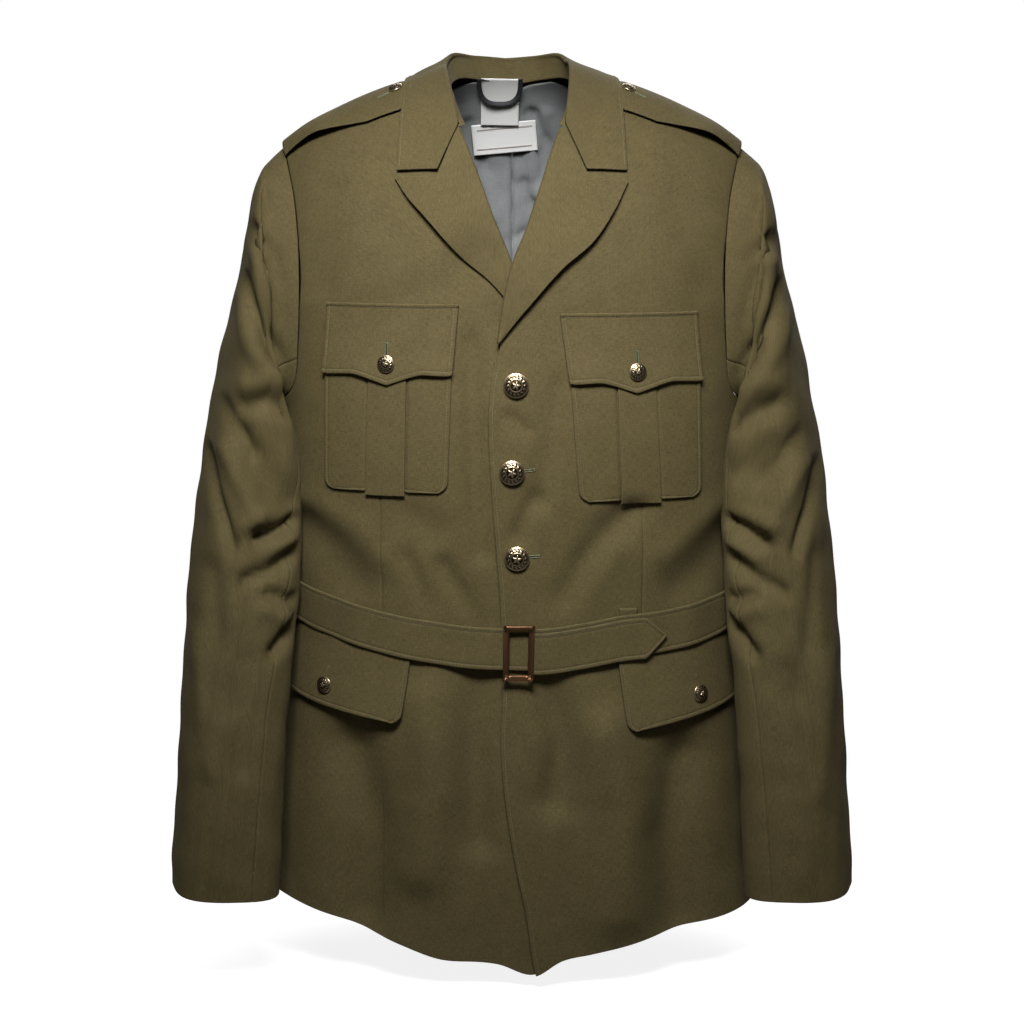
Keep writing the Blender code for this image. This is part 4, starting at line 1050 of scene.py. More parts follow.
collar = {
    "fold": (
        (0.000, 0.062, 0.025), (0.028, 0.057, 0.027), (0.049, 0.030, 0.029), (0.056, -0.005, 0.016),
        (0.055, -0.040, -0.005), (0.0465, -0.0875, -0.0345),
    ),
    "fallEdge": (
        (0.000, 0.077, -0.020), (0.046, 0.066, -0.016), (0.082, 0.036, -0.004), (0.0965, 0.000, 0.004),
        (0.0995, -0.045, -0.016), (0.1030, -0.0945, -0.0790),
    ),
    "fallEnd": ((0.0465, -0.0345), (0.0665, -0.0805), (0.1030, -0.0790)),
    "neckSeam": (
        (0.000, 0.0530, -0.001), (0.028, 0.0405, 0.004),
        (0.0500, 0.0195, 0.005), (0.0585, -0.004, 0.000),
        (0.055, -0.040, -0.014), (0.0440, -0.0840, -0.0370),
    ),
    "lean": -0.007,
    "flat": (0.470, 0.125),
    "area": 0.043,
}


def collarLine(rows, places, lean):
    points = spread(rows, np.abs(places))
    points[:, 0] *= np.sign(places)
    points[:, 0] += lean * np.cos(np.abs(places) * math.pi / 2)
    return points


def collarGrid():
    places = shares(190, 0.42, rimSteps, rimSteps) * 2 - 1
    places = places[np.abs(places) > 0.002]
    fold = collarLine(collar["fold"], places, collar["lean"])
    edge = collarLine(collar["fallEdge"], places, 0)
    down = shares(34, 0.07, (), rimSteps)
    down = down[down >= 0.045]
    grid = fold[None] * (1 - down[:, None, None]) + edge[None] * down[:, None, None]
    end = straight(collar["fallEnd"], down)
    end = np.stack([end[:, 0], frontY(end[:, 0], end[:, 1]) - 0.003, end[:, 1]], -1)
    for side, column in ((-1, 0), (1, -1)):
        bend = end * np.array([side, 1, 1]) - grid[:, column]
        near = np.clip(np.abs(places) - 0.62, 0, 1) / 0.38 * (np.sign(places) == side)
        grid = grid + bend[:, None] * (near**1.5)[None, :, None]
    lift = np.zeros_like(grid)
    lift[..., 2] = (np.sin(math.pi * down) * 0.004)[:, None]
    lift[..., 2] += softWaves(grid[..., 0] * 1.4, grid[..., 1], 0.021, 0.0005, 2.0)
    fall = keepOff(grid + lift, 0.0056)
    out = gridNormals(fall, 1)[0]
    out *= np.sign(np.sum(out * (fall[0] - np.array([0, -0.01, -0.05]))))
    up = unit(fall[0] - fall[2])
    outer, inner = fall[0], fall[0] - out * 0.0046
    crest = []
    for t in np.linspace(0, 1, 13)[:-1, None]:
        b = ((1 - t) ** 3 + 3 * (1 - t) ** 2 * t) * inner + (3 * (1 - t) * t**2 + t**3) * outer
        crest.append(b + up * 3 * (1 - t) * t * 0.0034)
    seam = collarLine(collar["neckSeam"], places, 0)
    away = seam - np.array([0, -0.015, 0])
    away[:, 2] = 0
    seam = seam - unit(away) * 0.0036
    stand = [seam + (inner - seam) * t for t in np.linspace(0, 1, 14)[:-1]]
    return np.concatenate([np.array(stand), np.array(crest), fall])


piece, made, outs = clothSheet(
    "coat_collar", collarGrid(), ("plain", "plain", "", "plain"), 0.0014, woolCloth, "wool",
    ["collar_fall", "collar_stand"], collar["flat"], "folded", away=np.array([0, -0.01, -0.08]),
    area=collar["area"],
)
points, normals = lineInside(made, outs, "end", 0.0032, (0.004, 0.004))
stitchAlong(points, normals)
print("collar made")


pockets = {
    "right": {
        "side": -1, "top": (0.0470, 0.1659, -0.1943), "flap": (0.0526, 0.1690, -0.2590),
        "bottom": (0.0577, 0.1705, -0.3640),
    },
    "left": {
        "side": 1, "top": (0.0423, 0.1661, -0.2025), "flap": (0.0508, 0.1700, -0.2660),
        "bottom": (0.0607, 0.1726, -0.3718),
    },
    "corner": 0.010,
    "pleat": 0.0172,
    "point": 0.0085,
    "flatPocket": (0.135, 0.115), "flatFlap": (0.122, 0.072), "flatPleat": (0.036, 0.115),
}


def pocketGrid(size, across, down, pleat=False):
    side = size["side"]
    inFlap, outFlap, low = size["flap"]
    inBottom, outBottom, bottom = size["bottom"]
    top = low + 0.009
    start = inFlap + 0.0006 + (inBottom - inFlap - 0.0006) * down
    finish = outFlap - 0.0006 + (outBottom - outFlap + 0.0006) * down
    z = top + (bottom - top) * down[:, None] + 0 * across[None]
    if pleat:
        centre = (start + finish) / 2
        half = pockets["pleat"] + 0.0006 * down
        x = centre[:, None] + (2 * across[None] - 1) * half[:, None]
        z = z - 0.0036 * down[:, None] ** 6
        standOff = 0.0038 + 0.0003 * down[:, None] + 0 * x
        return onFront(np.stack([side * x, z], -1), standOff, underlap if side < 0 else None)
    above = z[:, 0] - bottom
    corner = pockets["corner"]
    inset = corner - np.sqrt(np.maximum(corner**2 - np.maximum(corner - above, 0) ** 2, 0))
    x = (start + inset)[:, None] + (finish - start - 2 * inset)[:, None] * across[None]
    x += 0.0004 * np.sin(z * 90 + side) * (1 - across[None]) * across[None] * 4
    fromMiddle = np.abs(x - (start + finish)[:, None] / 2)
    beside = np.abs(fromMiddle - pockets["pleat"] - 0.0006 * down[:, None])
    off = 0.0026 - 0.0016 * np.exp(-((beside / 0.0016) ** 2))
    return onFront(np.stack([side * x, z], -1), off, underlap if side < 0 else None)


def flapGrid(size, across, down):
    side = size["side"]
    inTop, outTop, high = size["top"]
    inFlap, outFlap, low = size["flap"]
    start = inTop + (inFlap - inTop) * down
    finish = outTop + (outFlap - outTop) * down
    x = start[:, None] + (finish - start)[:, None] * across[None]
    point = pockets["point"] * np.clip(1 - np.abs(across - 0.5) / 0.27, 0, 1) ** 1.25
    droop = 0.0012 * np.sin(across * math.pi * 2) ** 2
    z = high + (low - high - point + droop)[None] * down[:, None]
    corner = np.minimum(across, 1 - across) * (finish - start)[:, None]
    z += 0.0012 * np.exp(-corner / 0.0022) * smoothstep(down, 0.8, 1.0)[:, None]
    curl = 0.0016 * np.sin(across * math.pi * 2 + 0.6)[None] ** 2 * smoothstep(down, 0.55, 1.0)[:, None]
    off = 0.0028 + 0.0036 * down[:, None] ** 1.3 + curl
    off += 0.0010 * np.exp(-((down[:, None] / 0.05) ** 2))
    return onFront(np.stack([side * x, z], -1), off, underlap if side < 0 else None)


for word in ("left", "right"):
    size = pockets[word]
    across, down = shares(104, 0.112, rimSteps, rimSteps), shares(40, 0.11, (), rimSteps)
    piece, made, outs = clothSheet(
        f"pocket_bag_{word}", pocketGrid(size, across, down), ("free", "free", "", "free"), 0.0013,
        woolCloth, "wool", [f"chest_pocket_{word}"], pockets["flatPocket"], "laid",
    )
    for edge, trim in (("left", (0.006, 0.008)), ("right", (0.006, 0.008)), ("end", (0.006, 0.006))):
        stitchAlong(*lineInside(made, outs, edge, rim["stitchIn"], trim))
    across, down = shares(24, 0.035, rimSteps[:5], rimSteps[:5]), shares(60, 0.11, (), rimSteps[:5])
    clothSheet(
        f"pocket_pleat_{word}", pocketGrid(size, across, down, True), ("plain", "plain", "", "plain"),
        0.0008, woolCloth, "wool", [], pockets["flatPleat"], "laid",
    )
    across, down = shares(78, 0.118, rimSteps, rimSteps), shares(46, 0.066, rimSteps, rimSteps)
    piece, made, outs = clothSheet(
        f"pocket_flap_{word}", flapGrid(size, across, down), ("free", "free", "free", "free"), 0.0018,
        woolCloth, "wool", [f"chest_flap_{word}"], pockets["flatFlap"], "hung",
    )
    for edge in ("left", "right", "end", "start"):
        stitchAlong(*lineInside(made, outs, edge, rim["stitchIn"] + 0.0004, (0.0048, 0.0048)))
print("chest pockets made")


lowerFlaps = {
    "right": {"side": -1, "inner": (25.3, 27.5), "outer": 93.0, "bottom": -0.5790},
    "left": {"side": 1, "inner": (26.6, 28.6), "outer": 93.0, "bottom": -0.5870},
    "rise": 0.022,
    "corner": 0.009,
    "flat": (0.235, 0.085),
    "area": 0.0145,
}
beltLine = (
    (-180, -0.4600), (-120, -0.4610), (-90, -0.4650), (-72, -0.4735), (-50, -0.4845), (-36, -0.4935),
    (-25, -0.5000), (-12, -0.5065), (0, -0.5085), (10, -0.5080), (17, -0.5045), (27, -0.4985),
    (40, -0.4955), (62, -0.4880), (80, -0.4800), (100, -0.4680), (135, -0.4610), (180, -0.4600),
)


def lowerFlapGrid(shape, across, down):
    side = shape["side"]
    start = shape["inner"][0] + (shape["inner"][1] - shape["inner"][0]) * down
    topAngles = shape["inner"][0] + (shape["outer"] - shape["inner"][0]) * across
    top = along(beltLine, side * topAngles)[:, 0] + 0.004
    bottom = shape["bottom"] + lowerFlaps["rise"] * across ** 0.9
    z = top[None] + (bottom - top)[None] * down[:, None]
    above = z - bottom[None]
    turn = lowerFlaps["corner"]
    inset = turn - np.sqrt(np.maximum(turn**2 - np.maximum(turn - above, 0) ** 2, 0))
    inset = inset * np.exp(-across[None] * 9)
    angles = start[:, None] + (shape["outer"] - start)[:, None] * across[None] + np.degrees(inset / 0.19)
    flare = 0.0036 * np.exp(-((across[None] / 0.35) ** 2)) + 0.0014 * np.sin(across[None] * 5.0 + 1)
    off = 0.0028 + 0.0030 * down[:, None] ** 1.6 + flare * down[:, None] ** 2
    return roundBody(side * angles, z, off)


for word in ("left", "right"):
    shape = lowerFlaps[word]
    across, down = shares(96, 0.22, rimSteps, ()), shares(46, 0.080, (), rimSteps)
    piece, made, outs = clothSheet(
        f"side_flap_{word}", lowerFlapGrid(shape, across, down), ("free", "", "", "free"), 0.0017,
        woolCloth, "wool", [f"lower_flap_{word}"], lowerFlaps["flat"], "hung", area=lowerFlaps["area"],
    )
    stitchAlong(*lineInside(made, outs, "left", rim["stitchIn"], (0.002, 0.007)))
    stitchAlong(*lineInside(made, outs, "end", rim["stitchIn"], (0.007, 0.0)))
print("lower flaps made")


belt = {
    "width": 0.0395, "off": 0.0040, "lift": 0.0020, "tipFrom": 4.6, "tipEnd": 41.0,
    "flat": (0.040, 1.18), "flatEnd": (0.040, 0.135),
    "loop": {"angles": (27.6, 32.8), "heights": (-0.4720, -0.4890), "flat": (0.019, 0.017)},
}


def beltGrid(angles, across, raised, drop=0.0, point=None):
    heights = along(beltLine, angles)[:, 0] - drop
    rows = (across - 0.5)[:, None] * belt["width"]
    if point is not None:
        rows = rows * point[None]
    off = belt["off"] + raised + belt["lift"] * smoothstep(np.abs(angles), 16, 25)
    wave = 0.0006 * np.sin(np.radians(angles) * 9 + 1.0) + 0.0004 * np.sin(np.radians(angles) * 23)
    lean = (across[:, None] - 0.5) * 0.0011 * np.sin(np.radians(angles) * 5 + 0.4)[None]
    away = off[None] + wave[None] + lean + 0 * rows
    return roundBody(angles[None] + 0 * rows, heights[None] + rows, away)


across = shares(16, belt["width"], rimSteps, rimSteps)
piece, made, outs = clothSheet(
    "coat_belt", beltGrid(np.linspace(-180, 180, 541), across, 0.0), ("", "", "free", "free"), 0.0018,
    woolCloth, "wool", ["belt"], belt["flat"], "stretched",
)
for edge in ("start", "end"):
    stitchAlong(*lineInside(made, outs, edge, rim["stitchIn"]))
angles = belt["tipFrom"] + (belt["tipEnd"] - belt["tipFrom"]) * shares(110, 0.125, (), rimSteps)
point = np.interp(belt["tipEnd"] - angles, [0, 0.25, 6.2, 6.6], [0.04, 0.07, 0.97, 1.0])
lifted = 0.0032 - 0.0008 * smoothstep(angles, 10, 20) + 0.0014 * smoothstep(angles, 30, 41)
piece, made, outs = clothSheet(
    "coat_belt_end", beltGrid(angles, across, lifted, 0.0035, point), ("", "plain", "free", "free"),
    0.0018, woolCloth, "wool", ["belt_end"], belt["flatEnd"], "laid",
)
for edge in ("start", "end"):
    stitchAlong(*lineInside(made, outs, edge, rim["stitchIn"], (0.0, 0.010)))
loopAngles = np.linspace(*belt["loop"]["angles"], 14)
loopHeights = np.linspace(*belt["loop"]["heights"], 14)[:, None]
loopOff = 0.0024 + 0.0008 * (loopHeights + 0.489) / 0.017 + 0 * loopAngles[None]
grid = roundBody(loopAngles[None], loopHeights, loopOff)
clothSheet(
    "coat_belt_loop", grid, ("plain", "plain", "plain", ""), 0.0012, woolCloth, "wool", ["belt_loop"],
    belt["loop"]["flat"], "laid",
)
print("belt made")


buckle = {"x": 0.0060, "z": -0.5110, "width": 0.0281, "height": 0.0512, "bar": 0.0054, "thick": 0.0030}


def paintWorn(piece, values):
    worn = piece.data.attributes.new("worn", "FLOAT", "POINT")
    worn.data.foreach_set("value", np.asarray(values, np.float32))


def frontNormal(x, z):
    near = onFront(np.array([[x, z]]), np.array([0.0]))[0]
    far = onFront(np.array([[x, z]]), np.array([0.01]))[0]
    return near, (far - near) / 0.01


def makeBuckle():
    near, out = frontNormal(buckle["x"], buckle["z"])
    shape = bmesh.new()
    bmesh.ops.create_grid(shape, x_segments=1, y_segments=1, size=0.5)
    bmesh.ops.scale(shape, vec=(buckle["width"], buckle["height"], 1), verts=shape.verts)
    corners = list(shape.verts)
    bmesh.ops.bevel(
        shape, geom=corners, offset=0.0022, segments=5, profile=0.5, affect="VERTICES", material=-1
    )
    bmesh.ops.inset_region(
        shape, faces=list(shape.faces), thickness=buckle["bar"], depth=0, use_boundary=True
    )
    middle = max(shape.faces, key=lambda face: len(face.verts))
    bmesh.ops.delete(shape, geom=[middle], context="FACES_ONLY")
    raised = bmesh.ops.extrude_face_region(shape, geom=list(shape.faces))["geom"]
    raised = [part for part in raised if isinstance(part, bmesh.types.BMVert)]
    bmesh.ops.translate(shape, vec=(0, 0, buckle["thick"]), verts=raised)
    bmesh.ops.recalc_face_normals(shape, faces=shape.faces)
    sharp = [edge for edge in shape.edges if edge.calc_face_angle(0) > 0.9]
    bmesh.ops.bevel(
        shape, geom=sharp, offset=0.0007, segments=3, profile=0.5, affect="EDGES", material=-1
    )
    low = min(vert.co.z for vert in shape.verts)
    for vert in shape.verts:
        x, up, deep = vert.co.x, vert.co.y, vert.co.z - low
        bow = 0.0016 * (1 - (x / (buckle["width"] / 2)) ** 2)
        vert.co = Vector((x + 0.0011 * up / buckle["height"], -deep - bow * 0.5, up))
    place = near + out * 0.0076  # on the belt
    bmesh.ops.translate(shape, vec=Vector(place), verts=shape.verts)
    bmesh.ops.recalc_face_normals(shape, faces=shape.faces)
    piece = placed("belt_buckle", shape, bronze, ["buckle"])
    mesh = piece.data
    places = np.empty(len(mesh.vertices) * 3)
    mesh.vertices.foreach_get("co", places)
    places = places.reshape(-1, 3) - place
    fromEdge = np.minimum(
        buckle["width"] / 2 - np.abs(places[:, 0]), buckle["height"] / 2 - np.abs(places[:, 2])
    )
    band = np.exp(-(((fromEdge - 0.0012) / 0.0015) ** 2))
    rub = 0.35 + 0.5 * np.abs(np.sin(places[:, 2] * 160)) * band
    paintWorn(piece, rub)
    return piece


makeBuckle()
print("buckle made")


buttons = {
    "large": 0.0229, "small": 0.0159, "shoulder": 0.0127,
    "front": ((0.0036, -0.2664, 4), (0.0000, -0.3444, -7), (0.0045, -0.4236, 9)),  # x, height, turn
}


def starShare(x, y, points, reach):
    angle = np.arctan2(y, x) * points / (2 * math.pi)
    wedge = np.abs((angle % 1.0) - 0.5) * 2
    return smoothstep(reach * (0.42 + 0.58 * wedge**1.5) - np.hypot(x, y), -0.03, 0.06)


def makeButton(name, node, centre, out, across, dome, turnDegrees):
    radius = across / 2
    profile = [(0.0, dome)]
    profile += [(s, dome * (1 - 0.62 * s**2.2)) for s in np.linspace(0.04, 0.90, 22)]
    profile += [(0.93, dome * 0.50), (0.965, dome * 0.49), (0.99, dome * 0.40), (1.0, dome * 0.26)]
    profile += [(0.985, dome * 0.10), (0.94, 0.0), (0.0, 0.0)]
    shape = bmesh.new()
    verts = [shape.verts.new((s * radius, 0, high)) for s, high in profile]
    edges = [shape.edges.new(pair) for pair in zip(verts, verts[1:])]
    bmesh.ops.spin(shape, geom=verts + edges, axis=(0, 0, 1), angle=math.tau, steps=72, use_merge=True)
    bmesh.ops.remove_doubles(shape, verts=shape.verts, dist=1e-6)
    bmesh.ops.recalc_face_normals(shape, faces=shape.faces)
    places = np.array([vert.co[:] for vert in shape.verts]) / radius
    x, y = places[:, 0], places[:, 1]
    far = np.hypot(x, y)
    angle = np.arctan2(y, x)
    star = starShare(x, y, 5, 0.40)
    ring = np.exp(-(((far - 0.50) / 0.045) ** 2)) * 0.7
    veins = 0.5 + 0.5 * np.cos(angle * 14 + np.sin(far * 22) * 1.2)
    leaves = np.exp(-(((far - 0.68) / 0.10) ** 2)) * veins
    beads = np.exp(-(((far - 0.86) / 0.035) ** 2)) * (0.55 + 0.45 * np.cos(angle * 28))
    relief = np.clip(star + ring + leaves + beads, 0, 1.2) * (far < 0.93)
    top = places[:, 2] * radius > dome * 0.2
    field = np.where(top, relief, 0.55)
    for vert, high in zip(shape.verts, field):
        if vert.co.z > dome * 0.2:
            vert.co.z += (high - 0.5) * 0.055 * radius
    out = Vector(out).normalized()
    turned = Matrix.Rotation(math.radians(turnDegrees), 4, "Z")
    matrix = out.to_track_quat("Z", "Y").to_matrix().to_4x4() @ turned
    bmesh.ops.transform(shape, matrix=Matrix.Translation(Vector(centre)) @ matrix, verts=shape.verts)
    worn = np.where(far > 0.93, 0.75, np.clip(relief, 0, 1) * 0.85)
    piece = placed(name, shape, oldBrass, [node])
    paintWorn(piece, worn)
    return piece


holes = {"width": 0.0032, "radius": 0.00062}


def makeButtonhole(name, start, end, out):
    start, end, out = np.array(start), np.array(end), unit(np.array(out, float))
    direction = unit(end - start)
    aside = np.cross(direction, out)
    length = np.linalg.norm(end - start)
    around = np.linspace(0, 2 * math.pi, 57)
    half = holes["width"] / 2
    run = np.cos(around)
    xs = np.sign(run) * np.minimum(np.abs(run) * 1.6, 1) * (length / 2 - half * 0.5) + run * half * 0.5
    ys = np.sin(around) * half * 0.62 / np.maximum(np.abs(np.sin(around)), 0.62)
    middle = (start + end) / 2
    loop = middle + np.outer(xs, direction) + np.outer(ys, aside)
    tangent = unit(np.gradient(loop, axis=0))
    sideways = np.cross(tangent, out)
    turn = np.linspace(0, 2 * math.pi, 9)
    size = holes["radius"] * (1 + 0.14 * np.sin(np.arange(57) * 2.6))
    outward = sideways[None] * np.cos(turn)[:, None, None] + out * np.sin(turn)[:, None, None]
    tube = loop[None] + outward * size[None, :, None]
    shape = bmesh.new()
    made = bmesh.ops.create_grid(shape, x_segments=56, y_segments=8, size=1)["verts"]
    for vert, place in zip(made, tube.reshape(-1, 3)):
        vert.co = place
    bmesh.ops.remove_doubles(shape, verts=shape.verts, dist=2e-5)
    bmesh.ops.recalc_face_normals(shape, faces=shape.faces)
    placed(name, shape, holeThread)
    # a near-black quad in the cut: painted shade where the buttonhole opens
    slitShade = bmesh.new()
    made = bmesh.ops.create_grid(slitShade, x_segments=1, y_segments=1, size=1)["verts"]
    for vert, (a, b) in zip(made, ((-1, -1), (1, -1), (-1, 1), (1, 1))):
        corner = middle + direction * a * (length / 2 - half * 0.7) + aside * b * half * 0.3
        vert.co = Vector(corner + out * 0.00012)
    if len(slitShade.faces) and Vector(out).dot(list(slitShade.faces)[0].normal) < 0:
        bmesh.ops.reverse_faces(slitShade, faces=slitShade.faces)
    placed(f"{name}_slit", slitShade, paintedSlitShade, smooth=False)


for number, (x, z, turned) in enumerate(buttons["front"], 1):
    near, out = frontNormal(x, z)
    makeButton(
        f"coat_button_{number}", f"front_button_{number}", near + out * 0.0012, out,
        buttons["large"], 0.0058, turned,
    )
    if number > 1:
        a, normal = frontNormal(x + 0.0085, z + 0.0008)
        b, _ = frontNormal(x + 0.0205, z + 0.0016)
        makeButtonhole(f"front_buttonhole_{number}", a + normal * 0.0001, b + normal * 0.0001, normal)
for word in ("left", "right"):
    size = pockets[word]
    side = size["side"]
    x, z = side * (size["flap"][0] + size["flap"][1]) / 2, size["flap"][2] + 0.0110
    near, out = frontNormal(x, z)
    makeButton(
        f"pocket_button_{word}", f"chest_button_{word}", near + out * 0.0068, out,
        buttons["small"], 0.0042, 6 * side,
    )
    high = 0.0028 + 0.0036 * ((size["top"][2] - z - 0.016) / 0.066) ** 1.3 + 0.0006
    a, normal = frontNormal(x, z + 0.0070)
    b, _ = frontNormal(x, z + 0.0185)
    start, end = a + normal * (high + 0.0005), b + normal * (high - 0.0004)
    makeButtonhole(f"pocket_buttonhole_{word}", start, end, normal)
    shape = lowerFlaps[word]
    angle, height = side * 52.5, shape["bottom"] + lowerFlaps["rise"] * 0.38 + 0.0205
    near, far = (roundBody(np.array([angle]), np.array([height]), lift)[0] for lift in (0.0, 0.01))
    out = (far - near) / 0.01
    makeButton(
        f"side_button_{word}", f"lower_button_{word}", near + out * 0.0068, out,
        buttons["small"], 0.0042, -8 * side,
    )
    beside = np.array([angle - side * 0.6])
    a, b = (roundBody(beside, np.array([height + up]), 0.0042)[0] for up in (0.0075, 0.0180))
    makeButtonhole(f"side_buttonhole_{word}", a, b, out)
print("buttons made")


straps = {
    "at": (0, 0.3, 0.6, 0.9, 1.0),
    "front": (-0.024, -0.041, -0.053, -0.056, -0.045),
    "back": (0.022, 0.010, -0.002, -0.011, -0.024),
    "innerX": 0.0900,
    "off": 0.0042,
    "button": (0.1045, -0.030),
    "flat": (0.052, 0.130),
}


def strapGrid(side, inward, across):
    front = np.interp(inward, straps["at"], straps["front"])
    back = np.interp(inward, straps["at"], straps["back"])
    y = front[:, None] + (back - front)[:, None] * across[None]
    sewn = 0.2100 - 7.0 * y**2
    x = sewn + (straps["innerX"] - sewn) * inward[:, None]
    lift = 0.0064 * np.exp(-(((inward - 0.24) / 0.17) ** 2))[:, None] * (1 - across[None]) ** 1.6
    crown = 0.0012 * np.sin(math.pi * across[None]) * np.ones_like(lift)
    return shoulderTop(side * x, y, straps["off"] + lift + crown)


for side, word in ((1, "left"), (-1, "right")):
    inward, across = shares(74, 0.125, seamSteps, rimSteps), shares(34, 0.048, rimSteps, rimSteps)
    piece, made, outs = clothSheet(
        f"shoulder_strap_{word}", strapGrid(side, inward, across), ("plain", "plain", "seam", "plain"),
        0.0018, woolCloth, "wool", [f"epaulette_{word}"], straps["flat"], "laid",
    )
    place = np.array([[side * straps["button"][0]], [straps["button"][1]]])
    near = shoulderTop(place[0], place[1], np.array([straps["off"] + 0.0014]))[0]
    far = shoulderTop(place[0], place[1], np.array([straps["off"] + 0.0114]))[0]
    makeButton(
        f"strap_button_{word}", f"epaulette_button_{word}", near, far - near,
        buttons["shoulder"], 0.0034, 12 * side,
    )
    a = shoulderTop(place[0] + side * 0.006, place[1] - 0.003, np.array([straps["off"] + 0.0012]))[0]
    b = shoulderTop(place[0] + side * 0.016, place[1] - 0.004, np.array([straps["off"] + 0.0012]))[0]
    makeButtonhole(f"strap_buttonhole_{word}", a, b, far - near)
print("shoulder straps made")


neck = {
    "main": {"x": -0.0072, "z": -0.0505, "width": 0.062, "height": 0.029, "off": 0.0120, "turn": 5.0},
    "care": {"x": -0.0115, "z": -0.0170, "width": 0.036, "height": 0.044, "off": 0.0140, "turn": -1.0},
    "loop": {"x": -0.0115, "z": 0.0010, "wide": 0.0195, "deep": 0.0195, "tape": 0.0046},
}


def inNeck(x, z, off):
    rise = (z - coat["chestTop"]) / (ridge(x) - coat["chestTop"])
    return np.stack([x, 0.122 * np.sqrt(np.clip(1 - rise**2, 0, 1)) - off, z], -1)


def labelGrid(size, wide=1.0, tall=1.0, off=0.0, count=30):
    u, v = np.meshgrid(np.linspace(-0.5, 0.5, count), np.linspace(0.5, -0.5, count))
    a, b = u * size["width"] * wide, v * size["height"] * tall
    turn = math.radians(size["turn"])
    x = size["x"] + a * math.cos(turn) - b * math.sin(turn)
    z = size["z"] + a * math.sin(turn) + b * math.cos(turn)
    return inNeck(x, z, size["off"] + off + 0.0006 * np.sin(u * 5))


def ribbon(name, grid, material):
    shape = bmesh.new()
    rows, columns = grid.shape[:2]
    made = bmesh.ops.create_grid(shape, x_segments=columns - 1, y_segments=rows - 1, size=1)["verts"]
    for vert, place in zip(made, grid.reshape(-1, 3)):
        vert.co = place
    return placed(name, shape, material)


for name, size in (("main_label", neck["main"]), ("care_label", neck["care"])):
    clothSheet(
        f"neck_{name}", labelGrid(size), ("", "", "", ""), 0.0005, labelWhite, "label_cloth", [name],
        (size["width"], size["height"]), "laid", sign=1,
    )
for name, wide, tall, low in (("upper", 0.86, 0.035, 0.32), ("lower", 0.86, 0.035, -0.32)):
    size = dict(neck["main"], z=neck["main"]["z"] + low * neck["main"]["height"])
    ribbon(f"label_band_{name}", labelGrid(size, wide, tall, 0.0011, 16), labelBorder)


def makeHangerLoop():
    size = neck["loop"]
    turn = np.linspace(-0.12, math.pi + 0.12, 60)
    x = size["x"] + size["wide"] * np.sign(np.cos(turn)) * np.abs(np.cos(turn)) ** 0.72
    z = size["z"] - size["deep"] * np.sign(np.sin(turn)) * np.abs(np.sin(turn)) ** 0.8
    path = inNeck(x, z, 0.0172)
    ahead = unit(np.gradient(path, axis=0))
    out = np.array([0, -1.0, 0.25])
    aside = unit(np.cross(ahead, out))
    around = np.linspace(0, 2 * math.pi, 13)
    wide, thick = size["tape"] / 2, 0.0008
    across = (np.cos(around) * wide)[:, None, None]
    through = (np.sin(around) * thick)[:, None, None]
    tube = path[None] + aside[None] * across + unit(out) * through
    piece = ribbon("neck_hanger_loop", tube, tapeCharcoal)
    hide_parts("hanger_loop")
    shape = bmesh.new()
    shape.from_mesh(piece.data)
    bmesh.ops.remove_doubles(shape, verts=shape.verts, dist=1e-5)
    bmesh.ops.holes_fill(shape, edges=[edge for edge in shape.edges if edge.is_boundary], sides=0)
    bmesh.ops.recalc_face_normals(shape, faces=shape.faces)
    shape.to_mesh(piece.data)
    shape.free()


makeHangerLoop()
makeStitching(threadOlive)
print("labels, loop and stitching made")


studio = {
    "floorHeight": -0.836,
    "key": {
        "place": (-0.06, -1.10, 0.66), "aim": (0.0, -0.10, -0.235),
        "size": (0.56, 0.36), "power": 3.1, "spread": 53,
    },
    "fill": {
        "place": (0.0, -1.5, 1.4), "aim": (0.0, 0.0, -0.40),
        "size": (1.6, 1.2), "power": 1.2, "spread": 180,
    },
    "back": {
        "place": (0.3, 2.0, 1.1), "aim": (0.0, 0.0, -0.40),
        "size": (2.0, 1.4), "power": 34.0, "spread": 180,
    },
    "ambient": 0.05,
    "floorGlow": 0.86,
    "camera": {"place": (0.0, -2.0946, -0.0337), "aim": (0.0, -0.125, -0.381), "lens": 78.1},
}


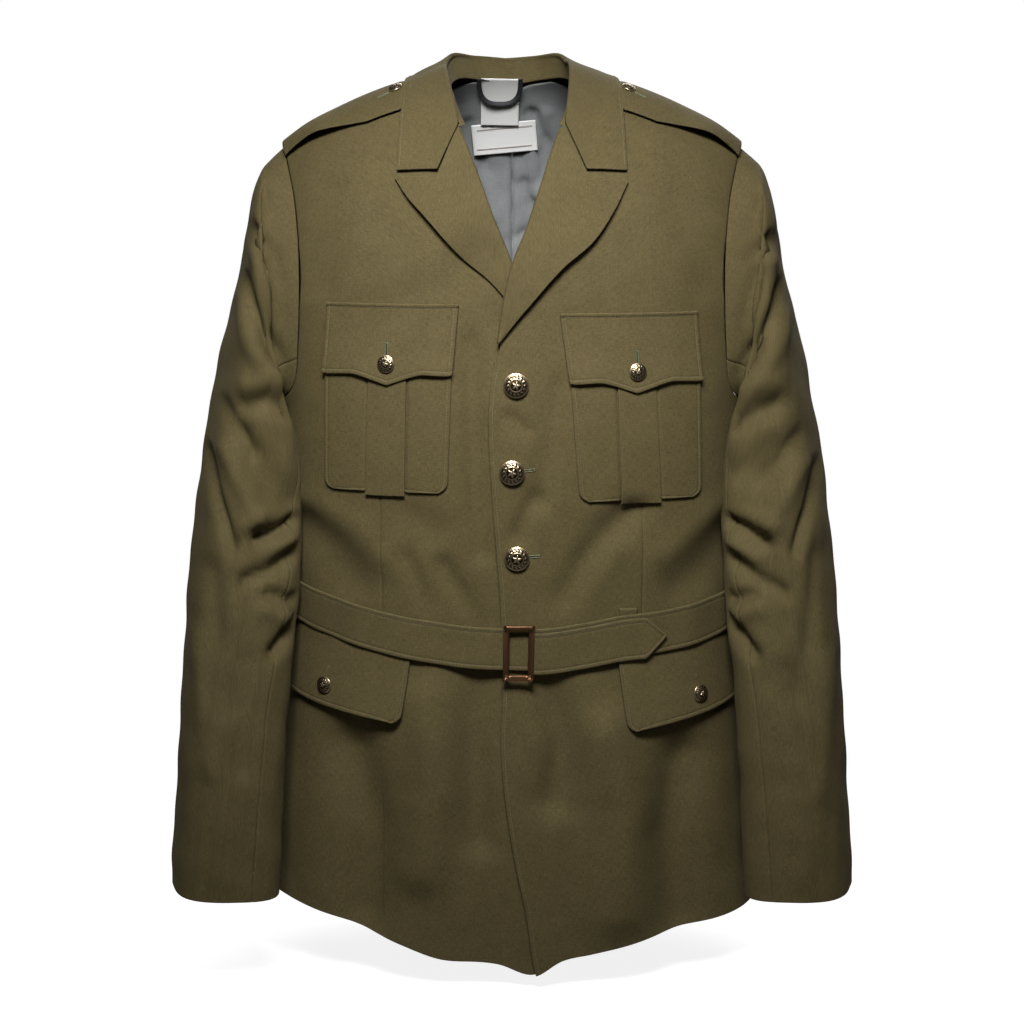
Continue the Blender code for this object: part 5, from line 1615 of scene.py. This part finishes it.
def makeFloor():
    shape = bmesh.new()
    bmesh.ops.create_circle(shape, cap_ends=True, segments=96, radius=1.2)
    bmesh.ops.translate(shape, vec=(0, 0, studio["floorHeight"]), verts=shape.verts)
    mesh = bpy.data.meshes.new("floor")
    shape.to_mesh(mesh)
    shape.free()
    floor = bpy.data.objects.new("floor", mesh)
    bpy.context.scene.collection.objects.link(floor)
    material = bpy.data.materials.new("paleFloor")
    material.use_nodes = True
    tree = material.node_tree
    shader = tree.nodes["Principled BSDF"]
    shader.inputs["Base Color"].default_value = (0.50, 0.50, 0.50, 1)
    shader.inputs["Roughness"].default_value = 0.9
    shader.inputs["Specular IOR Level"].default_value = 0.1
    shader.inputs["Emission Color"].default_value = (1, 1, 1, 1)
    rays = node(tree, "ShaderNodeLightPath", (-700, -300))
    glow = mathNode(tree, "MULTIPLY", rays.outputs["Is Camera Ray"], studio["floorGlow"], (-400, -300))
    tree.links.new(glow, shader.inputs["Emission Strength"])
    coords = node(tree, "ShaderNodeTexCoord", (-900, 0))
    far = node(tree, "ShaderNodeVectorMath", (-700, 0), operation="LENGTH")
    flat = node(tree, "ShaderNodeMapping", (-800, 0))
    flat.inputs["Scale"].default_value = (1, 1.3, 0)
    fade = node(tree, "ShaderNodeMapRange", (-450, 0), interpolation_type="SMOOTHSTEP")
    fade.inputs["From Min"].default_value = 0.95
    fade.inputs["From Max"].default_value = 0.34
    tree.links.new(coords.outputs["Object"], flat.inputs["Vector"])
    tree.links.new(flat.outputs["Vector"], far.inputs[0])
    tree.links.new(far.outputs["Value"], fade.inputs["Value"])
    tree.links.new(fade.outputs["Result"], shader.inputs["Alpha"])
    mesh.materials.append(material)
    floor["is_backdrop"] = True


def makeLight(name):
    settings = studio[name]
    data = bpy.data.lights.new(name, "AREA")
    data.shape = "RECTANGLE"
    data.size, data.size_y = settings["size"]
    data.energy = settings["power"]
    data.spread = math.radians(settings["spread"])
    lamp = bpy.data.objects.new(name, data)
    lamp.location = settings["place"]
    aim = Vector(settings["aim"]) - Vector(settings["place"])
    lamp.rotation_euler = aim.to_track_quat("-Z", "Y").to_euler()
    bpy.context.scene.collection.objects.link(lamp)


def makeWorld():
    world = bpy.data.worlds.new("studio")
    bpy.context.scene.world = world
    world.use_nodes = True
    tree = world.node_tree
    seen = tree.nodes["Background"]
    seen.inputs["Color"].default_value = (1, 1, 1, 1)
    seen.inputs["Strength"].default_value = 1.0
    lit = node(tree, "ShaderNodeBackground", (-200, -200))
    lit.inputs["Color"].default_value = (1, 1, 1, 1)
    lit.inputs["Strength"].default_value = studio["ambient"]
    rays = node(tree, "ShaderNodeLightPath", (-400, 200))
    mix = node(tree, "ShaderNodeMixShader", (100, 0))
    tree.links.new(rays.outputs["Is Camera Ray"], mix.inputs["Fac"])
    tree.links.new(lit.outputs["Background"], mix.inputs[1])
    tree.links.new(seen.outputs["Background"], mix.inputs[2])
    tree.links.new(mix.outputs["Shader"], tree.nodes["World Output"].inputs["Surface"])


def makeCamera():
    settings = studio["camera"]
    data = bpy.data.cameras.new("camera")
    data.lens, data.sensor_width = settings["lens"], 36.0
    camera = bpy.data.objects.new("camera", data)
    camera.location = settings["place"]
    aim = Vector(settings["aim"]) - Vector(settings["place"])
    camera.rotation_euler = aim.to_track_quat("-Z", "Y").to_euler()
    bpy.context.scene.collection.objects.link(camera)
    bpy.context.scene.camera = camera


makeFloor()
makeLight("key")
makeLight("fill")
makeLight("back")
makeWorld()
makeCamera()
bpy.context.scene.view_settings.view_transform = "Standard"

newLow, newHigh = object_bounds()
for word, low, high in (("cad", cadLow, cadHigh), ("looks", newLow, newHigh)):
    print("size", word, [round(b - a, 4) for a, b in zip(low, high)])
